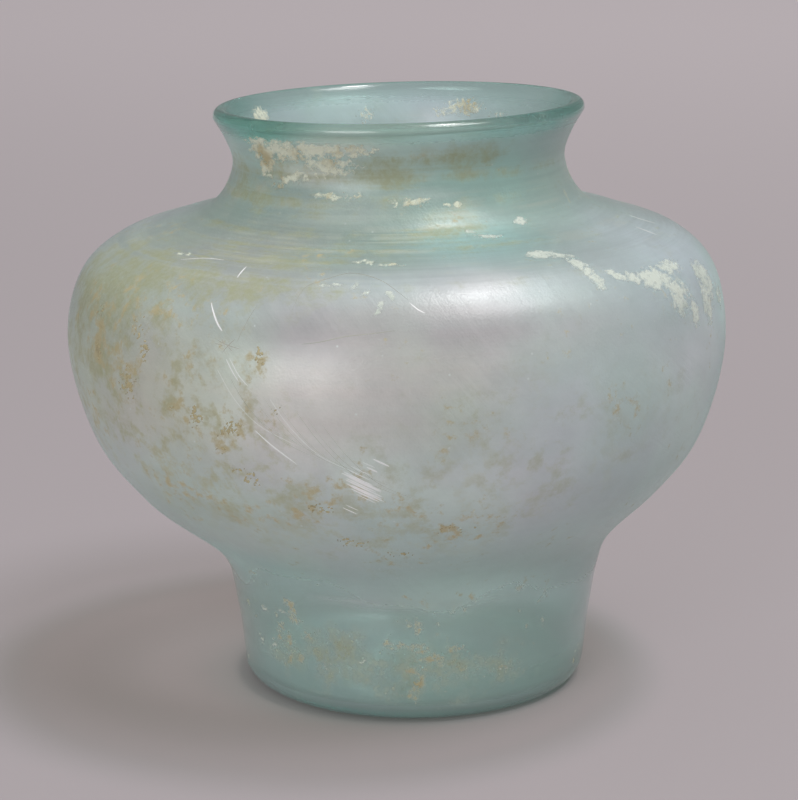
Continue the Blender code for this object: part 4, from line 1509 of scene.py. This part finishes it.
class JAR_OT_scratch_wall(bpy.types.Operator):
    """Scratch the wall: pale lines painted white, partly as painted glints, the dark lines of the star
    crack and wiped arcs
    """

    bl_idname = "jar.scratch_wall"
    bl_label = "Scratch wall"

    def execute(self, context):
        tints = colours()
        wall = wall_run()
        wipes = wipe_lines()
        # Pale strips: scratches painted white, partly as painted highlights
        pale = scratched("glint_scratches", wall, PALE_LINES + glint_lines() + wipes[::PALE_WIPE_EVERY])
        finish_piece(pale, crusted("glint_scratch", tints.glint_scratch, tints.pale_grain), "lime_crust")
        dirty = wipes[1::DARK_WIPE_EVERY] + wipes[2::DARK_WIPE_EVERY]
        dark = scratched("dark_scratches", wall, DARK_LINES + dirty)
        finish_piece(dark, crusted("dark_scratch", tints.dark_scratch, tints.dark_grain), "earth_crust")
        return {"FINISHED"}


class JAR_OT_set_stage(bpy.types.Operator):
    """Set the floor, the soft boxes, the room's light and the camera"""

    bl_idname = "jar.set_stage"
    bl_label = "Set stage"

    def execute(self, context):
        look = stage()
        deselect()
        lay_floor(look)
        light_room(look)
        soft_box("key_soft_box", *KEY_BOX, look.key_power)
        soft_box("window_soft_box", *WINDOW_BOX, look.window_power)
        soft_box("fill_soft_box", *FILL_BOX, look.fill_power)
        place_camera(look)
        context.scene.view_settings.view_transform = "Standard"
        return {"FINISHED"}


def lay_floor(look):
    """Wide round floor of paper, just under the resting ring."""
    bpy.ops.mesh.primitive_circle_add(vertices=FLOOR_SIDES, radius=FLOOR_RADIUS, fill_type="NGON")
    floor = bpy.context.object
    floor.name = "stage_floor"
    bpy.ops.object.mode_set(mode="EDIT")
    bpy.ops.transform.translate(value=(0.0, 0.0, -FLOOR_DROP))
    bpy.ops.object.mode_set(mode="OBJECT")
    floor.data.materials.append(stage_paper(look))


def light_room(look):
    """Even light from all sides."""
    world = bpy.data.worlds.new("studio_room")
    world.use_nodes = True
    room = world.node_tree.nodes["Background"]
    room.inputs["Color"].default_value = opaque(look.surround)
    room.inputs["Strength"].default_value = look.ambient
    bpy.context.scene.world = world


def place_camera(look):
    """Camera that sees the jar as the photo does."""
    bpy.ops.object.camera_add(location=look.camera_place)
    camera = bpy.context.object
    pitch, turn, roll = look.camera_turn
    turned_to = Matrix.Rotation(turn, 3, "Z") @ Matrix.Rotation(math.pi / 2.0 - pitch, 3, "X")
    camera.rotation_euler = (turned_to @ Matrix.Rotation(roll, 3, "Z")).to_euler()
    camera.data.lens = look.camera_lens
    camera.data.sensor_width = SENSOR_WIDTH
    camera.data.clip_start = NEAREST_SEEN
    bpy.context.scene.camera = camera


def stage_paper(look):
    """Matt paper, painted paler far behind the jar as painted light on the far floor."""
    nodes = Nodes("stage_paper")
    axes = nodes.add("ShaderNodeSeparateXYZ", {0: nodes.place()})
    far = nodes.step(axes.outputs[1], *FAR_LIGHT_SPAN)
    pale = [min(1.0, tone * (1.0 + look.far_painted_light)) for tone in look.floor]
    tint = nodes.blend(far, opaque(look.floor), opaque(pale))
    matt = {"Base Color": tint, "Roughness": PAPER_ROUGHNESS, "Specular IOR Level": PAPER_GLOSS}
    return nodes.output(nodes.add("ShaderNodeBsdfPrincipled", matt).outputs[0])


def soft_box(name, place, sides, watts):
    """Oval lamp that faces the middle of the jar."""
    bpy.ops.object.light_add(type="AREA", location=place)
    lamp = bpy.context.object
    lamp.name = name
    lamp.data.shape = "ELLIPSE"
    lamp.data.size, lamp.data.size_y = sides
    lamp.data.energy = watts
    aim = Vector(JAR_MIDDLE) - Vector(place)
    lamp.rotation_euler = aim.to_track_quat("-Z", "Y").to_euler()


class VIEW3D_PT_jar(bpy.types.Panel):
    """Sizes, colours and steps of the jar"""

    bl_idname = "VIEW3D_PT_jar"
    bl_label = "Globular jar"
    bl_space_type = "VIEW_3D"
    bl_region_type = "UI"
    bl_category = "Jar"

    def draw(self, context):
        """Shows the steps, then every size, colour and stage setting."""
        layout = self.layout
        for step in STEPS:
            layout.operator(step.bl_idname)
        for group in (context.scene.jar_shape, context.scene.jar_colours, context.scene.jar_stage):
            box = layout.box()
            for name in group.__annotations__:
                box.prop(group, name)


GROUPS = {"jar_shape": JarShape, "jar_colours": JarColours, "jar_stage": JarStage}
STEPS = (JAR_OT_set_stage, JAR_OT_blow_glass, JAR_OT_leave_pontil, JAR_OT_lay_crusts, JAR_OT_scratch_wall)


def register():
    """Adds the settings, the steps and the panel."""
    for name, group in GROUPS.items():
        bpy.utils.register_class(group)
        setattr(bpy.types.Scene, name, bpy.props.PointerProperty(type=group))
    for step in STEPS + (VIEW3D_PT_jar,):
        bpy.utils.register_class(step)


def unregister():
    """Takes the panel, the steps and the settings away."""
    for step in reversed(STEPS + (VIEW3D_PT_jar,)):
        bpy.utils.unregister_class(step)
    for name, group in GROUPS.items():
        delattr(bpy.types.Scene, name)
        bpy.utils.unregister_class(group)


def main():
    """Builds the whole jar on its stage."""
    register()
    bpy.ops.jar.set_stage()
    bpy.ops.jar.blow_glass()
    bpy.ops.jar.leave_pontil()
    bpy.ops.jar.lay_crusts()
    bpy.ops.jar.scratch_wall()


if __name__ == "__main__":
    main()
